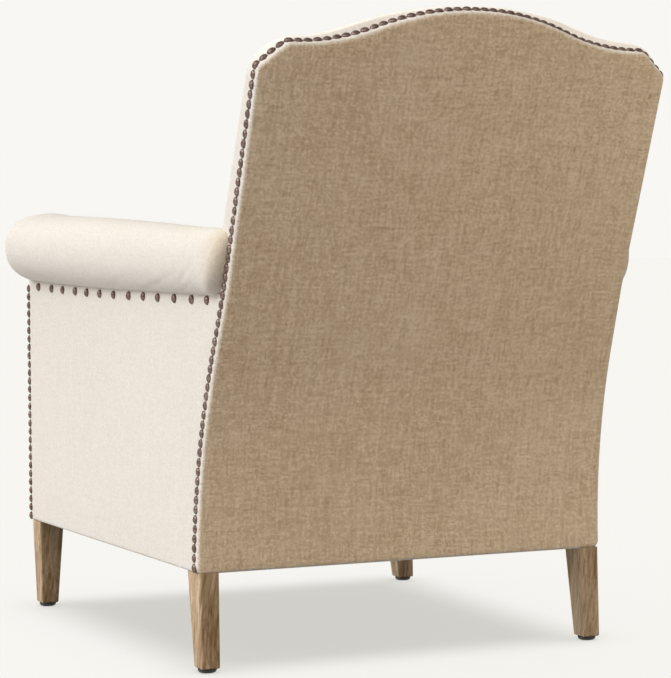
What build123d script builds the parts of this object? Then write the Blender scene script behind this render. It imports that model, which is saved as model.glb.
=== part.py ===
import os
from math import atan, cos, degrees, pi, radians, sin, sqrt, tan

from build123d import *

# Camel-back club chair. The sitter faces -Y, +X is the sitter's left, +Z is up, and the floor
# is z = 0. All sizes are in millimetres and all angles in degrees.

# Upholstered body
body_bottom = 140
side_top = 527.7
front_half_width = 340.5
rear_half_width = 320.5
back_half_width = 308
front_face = -470.5
rear_face = 257

# Rake of the back: upright at its foot, then a large bend, then a straight raked plane
rake_angle = 21.3
rake_corner_height = 301
rake_radius = 800

# Camel crest, measured on the raked plane
crest_height = 906
crest_drop = 50.4
shoulder_radius = 50
hump_share = 0.56

# Thicknesses of the covers with their padding
side_cover = 12
front_cover = 12
back_cover = 8
corner_share = 0.8
back_cover_inset = 3
border_step = 2
border_ease_depth = 19
border_ease_drop = 5
clearance = 0.3
overrun = 120

# Frame timber
frame_width = 32
frame_depth = 36
rail_thickness = 28
rail_height = 121
stump_depth = 60
arm_rail_height = 45
crest_rail_depth = 95
lower_rail_bottom = 338
lower_rail_height = 60
block_leg = 70
block_height = 60
dust_thickness = 1.2
dust_inset = 13

# Arms
arm_thickness = 78
roll_front_radius_x = 68
roll_front_radius_z = 58
roll_rear_radius_x = 33
roll_rear_radius_z = 47
roll_front_x = 318
roll_rear_x = 305
roll_front_dome = 55
roll_rear_dome = 50
roll_front_y = -437.5
roll_rear_y = 280
dome_angles = (78, 42)
roll_sides = 18

# Seat and inside back
deck_top = 330
back_seat_depth = 116
back_crest_depth = 66
back_bevel = 14
cushion_side_gap = 9
cushion_back_gap = 9
cushion_front_inset = 2
cushion_edge_height = 128
cushion_crown = 22
cushion_corner = 40
cushion_draw = 7
cushion_lip = 14
welt_radius = 3
welt_sides = 6
crown_shares = ((0.14, 0.55), (0.42, 1.0))

# Springs and webbing
wire = 3.8
spring_count = 5
spring_half_width = 27
bar_pitch = 34
turn_shares = (1 / 6, 1 / 2, 5 / 6)
clip_plate = 1.5
clip_width = 18
clip_lip = 9
web_width = 50
web_thickness = 1.5
web_columns = 4
web_rows = 4

# Legs
leg_bottom_width = 28
leg_bottom_depth = 29
rear_leg_inset = 2.5
rear_leg_splay_x = 0.8
rear_leg_setback = 0.5
rear_leg_top_depth = 51
rear_leg_splay_y = 3.9
front_leg_inset = 0.5
front_leg_outer_lean = 0.7
front_leg_top = 41
front_leg_setback = 8
front_leg_kick = 5.1
leg_easing = 1.5
glide_radius = 13.5
glide_height = 6.5
bolt_radius = 4
bolt_above = 60
bolt_below = 42
bolt_rear_inset = 9

# Decorative nails
nail_radius = 6.35
nail_height = 3.2
nail_sides = 6
nail_taper = 40
nail_pitch = 13.6
nail_setback = 15
nail_clearance = 0.45
nail_first_rise = 7
arm_nail_count = 13
arm_nail_first = 52
arm_nail_pitch = 59.3
arm_nail_drop = 6.4
corner_nail_drop = 12.7

# Derived geometry of the back
rake = radians(rake_angle)
bend_start = rake_corner_height - rake_radius * tan(rake / 2)
raked_foot = rear_face - rake_corner_height * tan(rake)
raked_plane = Plane(origin=(0, raked_foot, 0), x_dir=(1, 0, 0), z_dir=(0, -cos(rake), sin(rake)))
crest_top = crest_height / cos(rake)
shoulder_top = crest_top - crest_drop
shoulder_run = back_half_width - shoulder_radius
crest_turn = 2 * atan(crest_drop / shoulder_run)
arc_total = shoulder_run / sin(crest_turn)
hump_radius = hump_share * arc_total
dip_radius = arc_total - hump_radius
hump_centre = crest_top - hump_radius
dip_centre = hump_centre + arc_total * cos(crest_turn)
skirt_level = side_top / cos(rake)
frame_front = back_cover + frame_depth
frame_bottom = body_bottom + dust_thickness
rail_top = frame_bottom + rail_height
border_depth = frame_front + 2 * web_thickness
pad_start = border_depth + clearance
corner_radius = corner_share * side_cover
nail_first_height = body_bottom + nail_first_rise
reach = front_half_width + overrun


# Distance of the rear face from the YZ origin at a height, set forward by a depth
def rear_y(height, depth):
    rise = height - bend_start
    radius = rake_radius + depth
    if rise <= 0:
        return rear_face - depth
    if rise < radius * sin(rake):
        return rear_face + rake_radius - sqrt(radius**2 - rise**2)
    return rear_face + (height - rake_corner_height) * tan(rake) - depth / cos(rake)


# Half width of the body's outer side at a place, less an inset
def side_x(y, height, inset):
    low_slope = (front_half_width - rear_half_width) / (rear_face - front_face)
    high_slope = (front_half_width - back_half_width) / (rear_y(side_top, 0) - front_face)
    share = (height - body_bottom) / (side_top - body_bottom)
    slope = low_slope + (high_slope - low_slope) * share
    return front_half_width - inset - slope * (y - front_face)


# Front face of the inside back: a straight lean from the deck up to the crest
def pad_y(height):
    low, high = rear_y(deck_top, back_seat_depth), rear_y(crest_height, back_crest_depth)
    return low + (high - low) * (height - deck_top) / (crest_height - deck_top)


# Half width where a flat piece of the frame stays inside the body at all the heights it covers
def frame_x(y, heights, inset):
    return min(side_x(y, height, inset) for height in heights)


# Slice of the curved back between two depths, as seen from the side
def back_slice(near, far, low, high):
    centre = (rear_face + rake_radius, bend_start)
    with BuildSketch(Plane.YZ) as profile:
        with BuildLine():
            ends = []
            for depth in (near, far):
                radius = rake_radius + depth
                foot = (rear_face - depth, -overrun)
                bend = (rear_face - depth, bend_start)
                knee = (centre[0] - radius * cos(rake), bend_start + radius * sin(rake))
                top = (rear_y(crest_height + 2 * overrun, depth), crest_height + 2 * overrun)
                Line(foot, bend)
                CenterArc(centre, radius, 180 - rake_angle, rake_angle)
                Line(knee, top)
                ends.append((foot, top))
            Line(ends[0][0], ends[1][0])
            Line(ends[0][1], ends[1][1])
        make_face()
        with Locations((rear_face, low)):
            Rectangle(crest_height + reach, high - low, align=(Align.CENTER, Align.MIN), mode=Mode.INTERSECT)
    return profile.sketch


# Camel outline on the raked plane, drawn in by an inset
def crest_outline(inset):
    hump, dip, shoulder = hump_radius - inset, dip_radius + inset, shoulder_radius - inset
    corner_level = shoulder_top - shoulder_radius
    knee = (hump * sin(crest_turn), hump_centre + hump * cos(crest_turn))
    hollow = (shoulder_run - dip * sin(crest_turn / 2), dip_centre - dip * cos(crest_turn / 2))
    ledge = (shoulder_run, corner_level + shoulder)
    round_middle = (shoulder_run + shoulder * sin(pi / 4), corner_level + shoulder * sin(pi / 4))
    cheek = (back_half_width - inset, corner_level)
    skirt = ((back_half_width - inset, skirt_level), (reach, skirt_level), (reach, 0))
    with BuildSketch(raked_plane) as outline:
        with BuildLine():
            ThreePointArc((-knee[0], knee[1]), (0, hump_centre + hump), knee)
            for side in (1, -1):
                ThreePointArc(*[(side * x, level) for x, level in (knee, hollow, ledge)])
                ThreePointArc(*[(side * x, level) for x, level in (ledge, round_middle, cheek)])
                Polyline(*[(side * x, level) for x, level in (cheek, *skirt)])
            Line((-reach, 0), (reach, 0))
        make_face()
    return outline.sketch


# Solid between the flared sides of the body, drawn in by an inset, and upright above the arms
def taper_block(inset):
    low, high = [
        min(side_x(rear_y(level, depth), level, inset) for depth in (0, frame_front))
        for level in (body_bottom, side_top)
    ]
    with BuildPart() as block:
        with BuildSketch(Plane.XZ):
            with BuildLine():
                Polyline(
                    (-low, body_bottom),
                    (-high, side_top),
                    (high, side_top),
                    (low, body_bottom),
                    close=True,
                )
            make_face()
            with Locations((0, side_top)):
                Rectangle(
                    2 * (back_half_width - inset),
                    crest_height + overrun - side_top,
                    align=(Align.CENTER, Align.MIN),
                )
        extrude(amount=crest_height, both=True)
    return block.part


# One layer of the back: between two depths, inside the camel outline and the flared sides
def back_layer(near, far, inset, low, high):
    with BuildPart() as layer:
        extrude(back_slice(near, far, low, high), amount=reach, both=True)
        extrude(crest_outline(inset), amount=reach, both=True, mode=Mode.INTERSECT)
        add(taper_block(inset), mode=Mode.INTERSECT)
    return layer.part


# Everything behind a depth of the back, to trim what runs into it
def behind_back(depth):
    with BuildPart() as block:
        extrude(back_slice(-reach, depth, body_bottom, crest_height + overrun), amount=reach, both=True)
    return block.part


# Slab across the raked plane between two levels measured up it
def raked_slab(low, high):
    with BuildPart() as slab:
        with BuildSketch(raked_plane):
            with Locations((0, low)):
                Rectangle(2 * reach, high - low, align=(Align.CENTER, Align.MIN))
        extrude(amount=reach, both=True)
    return slab.part


# Plan of a strip that runs along the left side between two insets
def side_strip(front, rear, heights, outer, inner, level):
    with BuildSketch(Plane.XY.offset(level)) as strip:
        with BuildLine():
            Polyline(
                (frame_x(front, heights, outer), front),
                (frame_x(rear, heights, outer), rear),
                (frame_x(rear, heights, inner), rear),
                (frame_x(front, heights, inner), front),
                close=True,
            )
        make_face()
    return strip.sketch


# Plan across the chair between two mirrored side lines
def cross_strip(front, rear, heights, inset, level):
    with BuildSketch(Plane.XY.offset(level)) as strip:
        with BuildLine():
            Polyline(
                (-frame_x(front, heights, inset), front),
                (frame_x(front, heights, inset), front),
                (frame_x(rear, heights, inset), rear),
                (-frame_x(rear, heights, inset), rear),
                close=True,
            )
        make_face()
    return strip.sketch


# Oval arm roll in flat strips with its domed ends, grown all round by a margin
def arm_roll(margin):
    front_z = side_top + clearance + roll_front_radius_z
    rear_z = side_top + clearance + roll_rear_radius_z
    stations = []
    for angle in dome_angles:
        shrink = cos(radians(angle))
        stations.append((roll_front_y - roll_front_dome * sin(radians(angle)), shrink, 0))
    stations += [(roll_front_y, 1, 0), (roll_rear_y, 1, 1)]
    for angle in reversed(dome_angles):
        shrink = cos(radians(angle))
        stations.append((roll_rear_y + roll_rear_dome * sin(radians(angle)), shrink, 1))
    with BuildPart() as roll:
        for y, shrink, share in stations:
            x = roll_front_x + (roll_rear_x - roll_front_x) * share
            z = front_z + (rear_z - front_z) * share
            radius_x = roll_front_radius_x + (roll_rear_radius_x - roll_front_radius_x) * share
            radius_z = roll_front_radius_z + (roll_rear_radius_z - roll_front_radius_z) * share
            radius_x, radius_z = radius_x * shrink + margin, radius_z * shrink + margin
            turns = [2 * pi * step / roll_sides for step in range(roll_sides)]
            with BuildSketch(Plane(origin=(x, y, z), x_dir=(1, 0, 0), z_dir=(0, -1, 0))):
                Polygon(*[(radius_x * cos(turn), radius_z * sin(turn)) for turn in turns], align=None)
        loft(ruled=True)
    return roll.part


pieces = {}

# Legs: oak, square at the foot and tapered up to the wider top, with eased edges
rear_leg_x = rear_half_width - rear_leg_inset - leg_bottom_width / 2
rear_leg_back = rear_face - rear_leg_setback
front_leg_outer = front_half_width - front_leg_inset
front_leg_front = front_face + front_leg_setback
rear_top_centre = rear_leg_back - rear_leg_top_depth / 2
rear_foot_x = rear_leg_x + rear_leg_splay_x
rear_foot_y = rear_leg_back + rear_leg_splay_y - leg_bottom_depth / 2
front_top_x = front_leg_outer - front_leg_top / 2
front_top_y = front_leg_front + front_leg_top / 2
front_foot_x = front_leg_outer - front_leg_outer_lean - leg_bottom_width / 2
front_foot_y = front_leg_front + front_leg_top + front_leg_kick - leg_bottom_depth / 2
rear_bolt = (rear_leg_x - leg_bottom_width / 2 + bolt_rear_inset, rear_top_centre)
front_bolt = (front_top_x, front_top_y)

front_foot, front_top = (front_foot_x, front_foot_y), (front_top_x, front_top_y)
rear_foot, rear_top = (rear_foot_x, rear_foot_y), (rear_leg_x, rear_top_centre)

legs = (
    ("front_leg_left", front_foot, front_top, (front_leg_top, front_leg_top), front_bolt),
    ("rear_leg_left", rear_foot, rear_top, (leg_bottom_width, rear_leg_top_depth), rear_bolt),
)
leg_bottom = (leg_bottom_width, leg_bottom_depth)

for name, foot, top, top_size, bolt in legs:
    with BuildPart() as leg:
        for axis, plane, mode in ((0, Plane.XZ, Mode.ADD), (1, Plane.YZ, Mode.INTERSECT)):
            with BuildSketch(plane):
                with BuildLine():
                    Polyline(
                        (foot[axis] - leg_bottom[axis] / 2, glide_height),
                        (foot[axis] + leg_bottom[axis] / 2, glide_height),
                        (top[axis] + top_size[axis] / 2, body_bottom),
                        (top[axis] - top_size[axis] / 2, body_bottom),
                        close=True,
                    )
                make_face()
            extrude(amount=reach + rear_face, both=True, mode=mode)
        uprights = leg.edges().filter_by(lambda edge: edge.length > body_bottom / 2)
        chamfer([*uprights, *leg.faces().sort_by(Axis.Z)[0].edges()], length=leg_easing)
        with Locations((*bolt, body_bottom)):
            Hole(radius=bolt_radius + clearance, depth=bolt_below + clearance)
    pieces[name] = leg

foot_places = [(side * x, y) for x, y in (front_foot, rear_foot) for side in (1, -1)]
bolt_places = [(side * x, y) for x, y in (front_bolt, rear_bolt) for side in (1, -1)]

with BuildPart() as glide:
    Cylinder(glide_radius, glide_height, align=(Align.CENTER, Align.CENTER, Align.MIN))

with BuildPart() as leg_glides:
    with Locations(*foot_places):
        add(glide.part)
pieces["leg_glides"] = leg_glides

with BuildPart() as leg_bolts:
    with BuildSketch(Plane.XY.offset(body_bottom - bolt_below)):
        with Locations(*bolt_places):
            Circle(bolt_radius)
    extrude(amount=bolt_below + bolt_above)
pieces["leg_bolts"] = leg_bolts


# Clearance holes for the hanger bolts
def bolt_holes():
    with BuildPart() as holes:
        with BuildSketch(Plane.XY.offset(body_bottom - bolt_below)):
            with Locations(*bolt_places):
                Circle(bolt_radius + clearance)
        extrude(amount=bolt_below + bolt_above + clearance)
    return holes.part


# Timber frame
rail_back = front_face + front_cover + rail_thickness
stump_back = front_face + front_cover + stump_depth
frame_inset = side_cover + frame_width

with BuildPart() as front_seat_rail:
    front_rail_plan = cross_strip(
        front_face + front_cover, rail_back, (frame_bottom, side_top), frame_inset, frame_bottom
    )
    extrude(front_rail_plan, amount=rail_height)
pieces["front_seat_rail"] = front_seat_rail

with BuildPart() as rear_seat_rail:
    rear_rail_slice = back_slice(back_cover, back_cover + rail_thickness, frame_bottom, rail_top)
    extrude(rear_rail_slice, amount=reach, both=True)
    add(taper_block(frame_inset), mode=Mode.INTERSECT)
pieces["rear_seat_rail"] = rear_seat_rail

with BuildPart() as side_seat_rail_left:
    side_rail_plan = side_strip(
        stump_back, rear_face, (frame_bottom, rail_top), side_cover, frame_inset, frame_bottom
    )
    extrude(side_rail_plan, amount=rail_height)
    add(behind_back(frame_front), mode=Mode.SUBTRACT)
pieces["side_seat_rail_left"] = side_seat_rail_left

with BuildPart() as arm_stump_left:
    stump_plan = side_strip(
        front_face + front_cover, stump_back, (frame_bottom, side_top), side_cover, frame_inset, frame_bottom
    )
    extrude(stump_plan, amount=side_top - frame_bottom)
    add(bolt_holes(), mode=Mode.SUBTRACT)
pieces["arm_stump_left"] = arm_stump_left

with BuildPart() as arm_rail_left:
    arm_rail_bottom = side_top - arm_rail_height
    arm_rail_rear = rear_y(side_top, 0)
    arm_rail_heights = (arm_rail_bottom, side_top)
    arm_rail_plan = side_strip(
        stump_back, arm_rail_rear, arm_rail_heights, side_cover, frame_inset, arm_rail_bottom
    )
    extrude(arm_rail_plan, amount=arm_rail_height)
    add(behind_back(frame_front), mode=Mode.SUBTRACT)
pieces["arm_rail_left"] = arm_rail_left

crest_rail_low = shoulder_top - crest_rail_depth

with BuildPart() as back_post_left:
    add(back_layer(back_cover, frame_front, side_cover, frame_bottom, crest_height + overrun))
    add(taper_block(frame_inset), mode=Mode.SUBTRACT)
    add(raked_slab(0, crest_rail_low), mode=Mode.INTERSECT)
    add(bolt_holes(), mode=Mode.SUBTRACT)
    split(bisect_by=Plane.YZ, keep=Keep.TOP)
pieces["back_post_left"] = back_post_left

with BuildPart() as crest_rail:
    add(back_layer(back_cover, frame_front, side_cover, side_top, crest_height + overrun))
    add(raked_slab(crest_rail_low, crest_top), mode=Mode.INTERSECT)
pieces["crest_rail"] = crest_rail

with BuildPart() as back_lower_rail:
    lower_rail_slice = back_slice(
        frame_front - rail_thickness, frame_front, lower_rail_bottom, lower_rail_bottom + lower_rail_height
    )
    extrude(lower_rail_slice, amount=reach, both=True)
    add(taper_block(frame_inset), mode=Mode.INTERSECT)
pieces["back_lower_rail"] = back_lower_rail

block_heights = (frame_bottom, side_top)
block_rear_y = rear_face - back_cover - rail_thickness
block_corners = [
    (y, step, frame_x(y, block_heights, frame_inset)) for y, step in ((rail_back, 1), (block_rear_y, -1))
]

with BuildPart() as corner_blocks:
    with BuildSketch(Plane.XY.offset(frame_bottom)):
        for y, step, x in block_corners:
            far_y = y + step * block_leg
            far_x = frame_x(far_y, block_heights, frame_inset + clearance)
            for side in (1, -1):
                with BuildLine():
                    Polyline((side * x, y), (side * (x - block_leg), y), (side * far_x, far_y), close=True)
                make_face()
    extrude(amount=block_height)
pieces["corner_blocks"] = corner_blocks

# Seat springs: each one a flat zigzag of bars joined by bent turns, held by clips on the rails
spring_front = (front_face + front_cover + rail_back) / 2
spring_rear = rear_face - back_cover - rail_thickness / 2
bar_count = 2 * round((spring_rear - spring_front) / bar_pitch / 2) + 1
bar_step = (spring_rear - spring_front) / (bar_count - 1)
bar_half = spring_half_width - bar_step / 2
spring_level = rail_top + clip_plate + wire / 2
spring_room = frame_x(rear_face, (side_top,), arm_thickness) - spring_half_width - wire
spring_spacing = 2 * spring_room / (spring_count - 1)
spring_places = [(step - (spring_count - 1) / 2) * spring_spacing for step in range(spring_count)]
bend_points = [
    (
        (1 if bar % 2 == 0 else -1) * (bar_half + bar_step / 2 * sin(pi * share)),
        spring_front + (bar + 1 / 2) * bar_step - bar_step / 2 * cos(pi * share),
    )
    for bar in range(bar_count - 1)
    for share in turn_shares
]

with BuildPart() as spring:
    with BuildLine(Plane.XY.offset(spring_level)):
        Polyline((-bar_half, spring_front), *bend_points, (bar_half, spring_rear))
    start = (-bar_half, spring_front, spring_level)
    with BuildSketch(Plane(origin=start, z_dir=(*(Vector(*bend_points[0]) - Vector(*start[:2])),))):
        Rectangle(wire, wire)
    sweep(transition=Transition.RIGHT)

with BuildPart() as seat_springs:
    with Locations(*[(x, 0) for x in spring_places]):
        add(spring.part)
pieces["seat_springs"] = seat_springs

with BuildPart() as clip:
    with BuildSketch(Plane.YZ):
        with BuildLine():
            lip = clip_lip / 2
            roof = rail_top + clip_plate + wire
            Polyline(
                (-lip - clip_plate, rail_top),
                (lip, rail_top),
                (lip, rail_top + clip_plate),
                (-lip, rail_top + clip_plate),
                (-lip, roof),
                (lip, roof),
                (lip, roof + clip_plate),
                (-lip - clip_plate, roof + clip_plate),
                close=True,
            )
        make_face()
    extrude(amount=clip_width / 2, both=True)

with BuildPart() as spring_clips:
    with Locations(*[(x, spring_front) for x in spring_places]):
        add(clip.part)
    with Locations(*[Location((x, spring_rear, 0), (0, 0, 180)) for x in spring_places]):
        add(clip.part)
pieces["spring_clips"] = spring_clips

# Jute webbing of the back: uprights on the rails, cross strips over them
web_low = lower_rail_bottom + lower_rail_height / 2
web_high = (crest_rail_low + crest_rail_depth / 4) * cos(rake) + frame_front * sin(rake)
web_gap = 2 * (back_half_width - frame_inset) / web_columns
web_row_spacing = (web_high - web_low - lower_rail_height - web_width) / (web_rows - 1)

with BuildPart() as back_webbing:
    for column in range(web_columns):
        x = (column + 1 / 2 - web_columns / 2) * web_gap
        strip = back_slice(frame_front, frame_front + web_thickness, web_low, web_high)
        with Locations((x, 0)):
            add(extrude(strip, amount=web_width / 2, both=True, mode=Mode.PRIVATE))
    for row in range(web_rows):
        low = web_low + lower_rail_height + row * web_row_spacing
        cross = back_slice(frame_front + web_thickness, border_depth, low, low + web_width)
        extrude(cross, amount=back_half_width - frame_inset / 2, both=True)
pieces["back_webbing"] = back_webbing

# Seat deck over the springs and the padded border in front of it
deck_bottom = spring_level + wire / 2 + clearance
inner_inset = arm_thickness + clearance

with BuildPart() as seat_deck:
    deck_front = rail_back + 2 * clearance
    deck_plan = cross_strip(deck_front, rear_face, (side_top,), inner_inset, deck_bottom)
    extrude(deck_plan, amount=deck_top - deck_bottom)
    add(behind_back(frame_front + clearance), mode=Mode.SUBTRACT)
pieces["seat_deck"] = seat_deck

with BuildPart() as front_border:
    with BuildSketch(Plane.YZ):
        with BuildLine():
            Polyline(
                (front_face, body_bottom),
                (front_face + front_cover - clearance, body_bottom),
                (front_face + front_cover - clearance, roof + clip_plate + clearance),
                (rail_back, roof + clip_plate + clearance),
                (rail_back, deck_top),
                (front_face, deck_top),
                close=True,
            )
        make_face()
    extrude(amount=side_x(rail_back, side_top, inner_inset + clearance), both=True)
    fillet(front_border.faces().sort_by(Axis.Y)[0].edges().sort_by(Axis.Z)[-1], radius=front_cover)
pieces["front_border"] = front_border

# Covers of the arms
with BuildPart() as outside_arm_left:
    for level in (body_bottom, side_top):
        with BuildSketch(Plane.XY.offset(level)):
            add(side_strip(front_face, rear_face + overrun, (level,), 0, side_cover, level))
    loft(ruled=True)
    corner = (front_half_width, front_face, (body_bottom + side_top) / 2)
    fillet(outside_arm_left.edges().sort_by_distance(corner)[0], radius=corner_radius)
    add(behind_back(border_step), mode=Mode.SUBTRACT)
    back_room = back_layer(
        -overrun, back_cover + clearance, back_cover_inset - clearance, body_bottom, side_top + overrun
    )
    add(back_room, mode=Mode.SUBTRACT)
pieces["outside_arm_left"] = outside_arm_left

with BuildPart() as arm_front_left:
    facing_rear = front_face + front_cover - clearance
    facing_plan = side_strip(
        front_face, facing_rear, (side_top,), side_cover + clearance, arm_thickness, body_bottom
    )
    extrude(facing_plan, amount=side_top - body_bottom)
pieces["arm_front_left"] = arm_front_left

with BuildPart() as arm_pad_left:
    slab_rear = rear_y(side_top, 0)
    slab_top = side_top + clearance + roll_rear_radius_z
    slab_bottom = rail_top + clearance
    slab_plan = side_strip(
        front_face + front_cover, slab_rear, (side_top,), frame_inset + clearance, arm_thickness, slab_bottom
    )
    extrude(slab_plan, amount=slab_top - slab_bottom)
    add(arm_roll(0))
    add(
        back_layer(-overrun, pad_start, -clearance, body_bottom, crest_height + overrun), mode=Mode.SUBTRACT
    )
pieces["arm_pad_left"] = arm_pad_left

# Covers of the back
with BuildPart() as outside_back:
    add(back_layer(0, back_cover, back_cover_inset, body_bottom, crest_height + overrun))
pieces["outside_back"] = outside_back

with BuildPart() as back_border:
    add(back_layer(border_step, border_depth, 0, side_top + clearance, crest_height + overrun))
    border_face = back_border.faces().sort_by(Axis((0, 0, 0), raked_plane.z_dir))[-1]
    chamfer(
        border_face.edges().sort_by(Axis.Z)[1:],
        length=border_ease_drop,
        length2=border_ease_depth,
        reference=border_face,
    )
    add(
        back_layer(0, border_depth + overrun, side_cover - clearance, 0, crest_height + overrun),
        mode=Mode.SUBTRACT,
    )
    add(
        back_layer(0, back_cover + clearance, back_cover_inset - clearance, 0, crest_height + overrun),
        mode=Mode.SUBTRACT,
    )
pieces["back_border"] = back_border


# Room that one arm takes up, from the floor to the middle of its roll
def arm_block():
    with BuildPart() as block:
        room_plan = side_strip(front_face, rear_face + reach, (side_top,), -reach, inner_inset, 0)
        extrude(room_plan, amount=slab_top)
    return block.part


with BuildPart() as pad_room:
    with BuildSketch(Plane.YZ):
        with BuildLine():
            Polyline(
                (pad_y(0), 0),
                (pad_y(crest_height + overrun), crest_height + overrun),
                (rear_face + reach, crest_height + overrun),
                (rear_face + reach, 0),
                close=True,
            )
        make_face()
    extrude(amount=reach, both=True)

with BuildPart() as inside_back_foot:
    foot_bottom = deck_top + clearance
    extrude(back_slice(pad_start, reach, foot_bottom, side_top), amount=reach, both=True)
    foot_plan = cross_strip(front_face, rear_face + reach, (side_top,), inner_inset, foot_bottom)
    extrude(foot_plan, amount=side_top - foot_bottom, mode=Mode.INTERSECT)
    add(pad_room.part, mode=Mode.INTERSECT)

with BuildPart() as inside_back:
    add(back_layer(pad_start, reach, border_step + border_ease_drop, side_top, crest_height + overrun))
    add(pad_room.part, mode=Mode.INTERSECT)
    pad_face = inside_back.faces().sort_by(Axis((0, 0, 0), raked_plane.z_dir))[-1]
    chamfer(pad_face.edges().sort_by(Axis.Z)[1:], length=back_bevel)
    for arm_shape in (arm_block(), arm_roll(clearance)):
        add(arm_shape, mode=Mode.SUBTRACT)
        mirror(arm_shape, about=Plane.YZ, mode=Mode.SUBTRACT)
    add(inside_back_foot.part)
pieces["inside_back"] = inside_back


# Plan of the loose cushion at a level, drawn in all round and bowed in between its corners
def cushion_plan(level, inset, bow):
    front = front_face + cushion_front_inset + inset
    rear = pad_y(level) - cushion_back_gap - inset
    half_front = side_x(front, side_top, arm_thickness + cushion_side_gap + inset)
    half_rear = side_x(rear, side_top, arm_thickness + cushion_side_gap + inset)
    half_middle = (half_front + half_rear) / 2 - bow
    middle = (front + rear) / 2
    with BuildSketch(Plane.XY.offset(level)) as plan:
        with BuildLine():
            ThreePointArc((-half_front, front), (0, front + bow), (half_front, front))
            ThreePointArc((half_front, front), (half_middle, middle), (half_rear, rear))
            ThreePointArc((half_rear, rear), (0, rear - bow), (-half_rear, rear))
            ThreePointArc((-half_rear, rear), (-half_middle, middle), (-half_front, front))
        make_face()
        fillet(plan.vertices(), radius=cushion_corner)
    return plan.sketch


cushion_bottom = deck_top + clearance
low_seam = cushion_bottom + cushion_lip
high_seam = cushion_bottom + cushion_edge_height
cushion_half = side_x(rear_face, side_top, arm_thickness)

cushion_sections = [
    (cushion_bottom, cushion_lip, cushion_draw / 2),
    (low_seam, 0, cushion_draw),
    ((low_seam + high_seam) / 2, 0, cushion_draw / 2),
    (high_seam, 0, cushion_draw),
]
for inset_share, rise_share in crown_shares:
    crown_level = high_seam + rise_share * cushion_crown
    cushion_sections.append((crown_level, inset_share * cushion_half, cushion_draw / 2))

with BuildPart() as seat_cushion:
    loft([cushion_plan(*section).face() for section in cushion_sections], ruled=True)
pieces["seat_cushion"] = seat_cushion

with BuildPart() as cushion_welts:
    for level in (low_seam, high_seam):
        seam = cushion_plan(level, -welt_radius - clearance, cushion_draw).wires()[0]
        with BuildSketch(Plane(origin=seam @ 0, z_dir=seam % 0)):
            RegularPolygon(welt_radius, welt_sides)
        sweep(path=seam)
pieces["cushion_welts"] = cushion_welts

with BuildPart() as dust_cover:
    dust_heights = (body_bottom, side_top)
    dust_plan = cross_strip(
        front_face + dust_inset, rear_face - dust_inset, dust_heights, dust_inset, body_bottom
    )
    extrude(dust_plan, amount=dust_thickness)
    add(bolt_holes(), mode=Mode.SUBTRACT)
pieces["dust_cover"] = dust_cover


# Plane that lies on the outside of the left arm
def side_plane(y, height):
    level = min(height, side_top)
    along = side_x(y, level, 0) - side_x(y + 1, level, 0)
    up = side_x(y, level, 0) - side_x(y, level + 1, 0)
    return Plane(origin=(side_x(y, level, 0), y, height), z_dir=(1, along, up))


# Lengths of the nail row round the back: up a side, round a shoulder, through the dip, to the middle
nail_bend_radius = rake_radius + nail_setback
upright_run = bend_start - nail_first_height
bend_run = nail_bend_radius * rake
knee_height = bend_start + nail_bend_radius * sin(rake)
raked_depth_rise = nail_setback * sin(rake)
side_run = upright_run + bend_run
side_run += ((shoulder_top - shoulder_radius) * cos(rake) + raked_depth_rise - knee_height) / cos(rake)
shoulder_arc = shoulder_radius * pi / 2
dip_arc = dip_radius * crest_turn
hump_arc = hump_radius * crest_turn
row_half = side_run + shoulder_arc + dip_arc + hump_arc


# Plane on the outside of the left half of the back, at a distance along the nail row
def row_plane(distance):
    if distance < side_run:
        if distance < upright_run:
            height = nail_first_height + distance
        elif distance < upright_run + bend_run:
            height = bend_start + nail_bend_radius * sin((distance - upright_run) / nail_bend_radius)
        else:
            height = knee_height + (distance - upright_run - bend_run) * cos(rake)
        y = rear_y(height, nail_setback)
        if height < side_top + nail_radius:
            return side_plane(y, height)
        return Plane(origin=(back_half_width, y, height), z_dir=(1, 0, 0))
    along = distance - side_run
    if along < shoulder_arc:
        turn = along / shoulder_radius
        centre, radius, sign = (shoulder_run, shoulder_top - shoulder_radius), shoulder_radius, 1
    elif along < shoulder_arc + dip_arc:
        turn = 3 * pi / 2 - (along - shoulder_arc) / dip_radius
        centre, radius, sign = (shoulder_run, dip_centre), dip_radius, -1
    else:
        turn = pi / 2 - crest_turn + (along - shoulder_arc - dip_arc) / hump_radius
        centre, radius, sign = (0, hump_centre), hump_radius, 1
    x, level = centre[0] + radius * cos(turn), centre[1] + radius * sin(turn)
    normal = raked_plane.x_dir * (sign * cos(turn)) + raked_plane.y_dir * (sign * sin(turn))
    origin = raked_plane.offset(nail_setback).from_local_coords((x, level, 0))
    return Plane(origin=origin, z_dir=normal)


with BuildPart() as nail:
    with BuildSketch():
        RegularPolygon(nail_radius, nail_sides)
    extrude(amount=nail_height, taper=nail_taper)


# Rows of nail heads: six-sided low domes, one on each plane
def nail_heads(planes):
    with BuildPart() as heads:
        with Locations(*[plane.offset(nail_clearance) for plane in planes]):
            add(nail.part)
    return heads.part


row_count = round(row_half / nail_pitch)
row_step = row_half / row_count

with BuildPart() as nails_back:
    add(nail_heads([row_plane(step * row_step) for step in range(row_count)]))
    mirror(about=Plane.YZ)
    add(nail_heads([row_plane(row_half)]))
pieces["nails_back"] = nails_back

with BuildPart() as nails_arm_left:
    arm_nail_height = side_top - arm_nail_drop
    arm_nail_ys = [front_face + arm_nail_first + step * arm_nail_pitch for step in range(arm_nail_count)]
    add(nail_heads([side_plane(y, arm_nail_height) for y in arm_nail_ys]))
pieces["nails_arm_left"] = nails_arm_left

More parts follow.
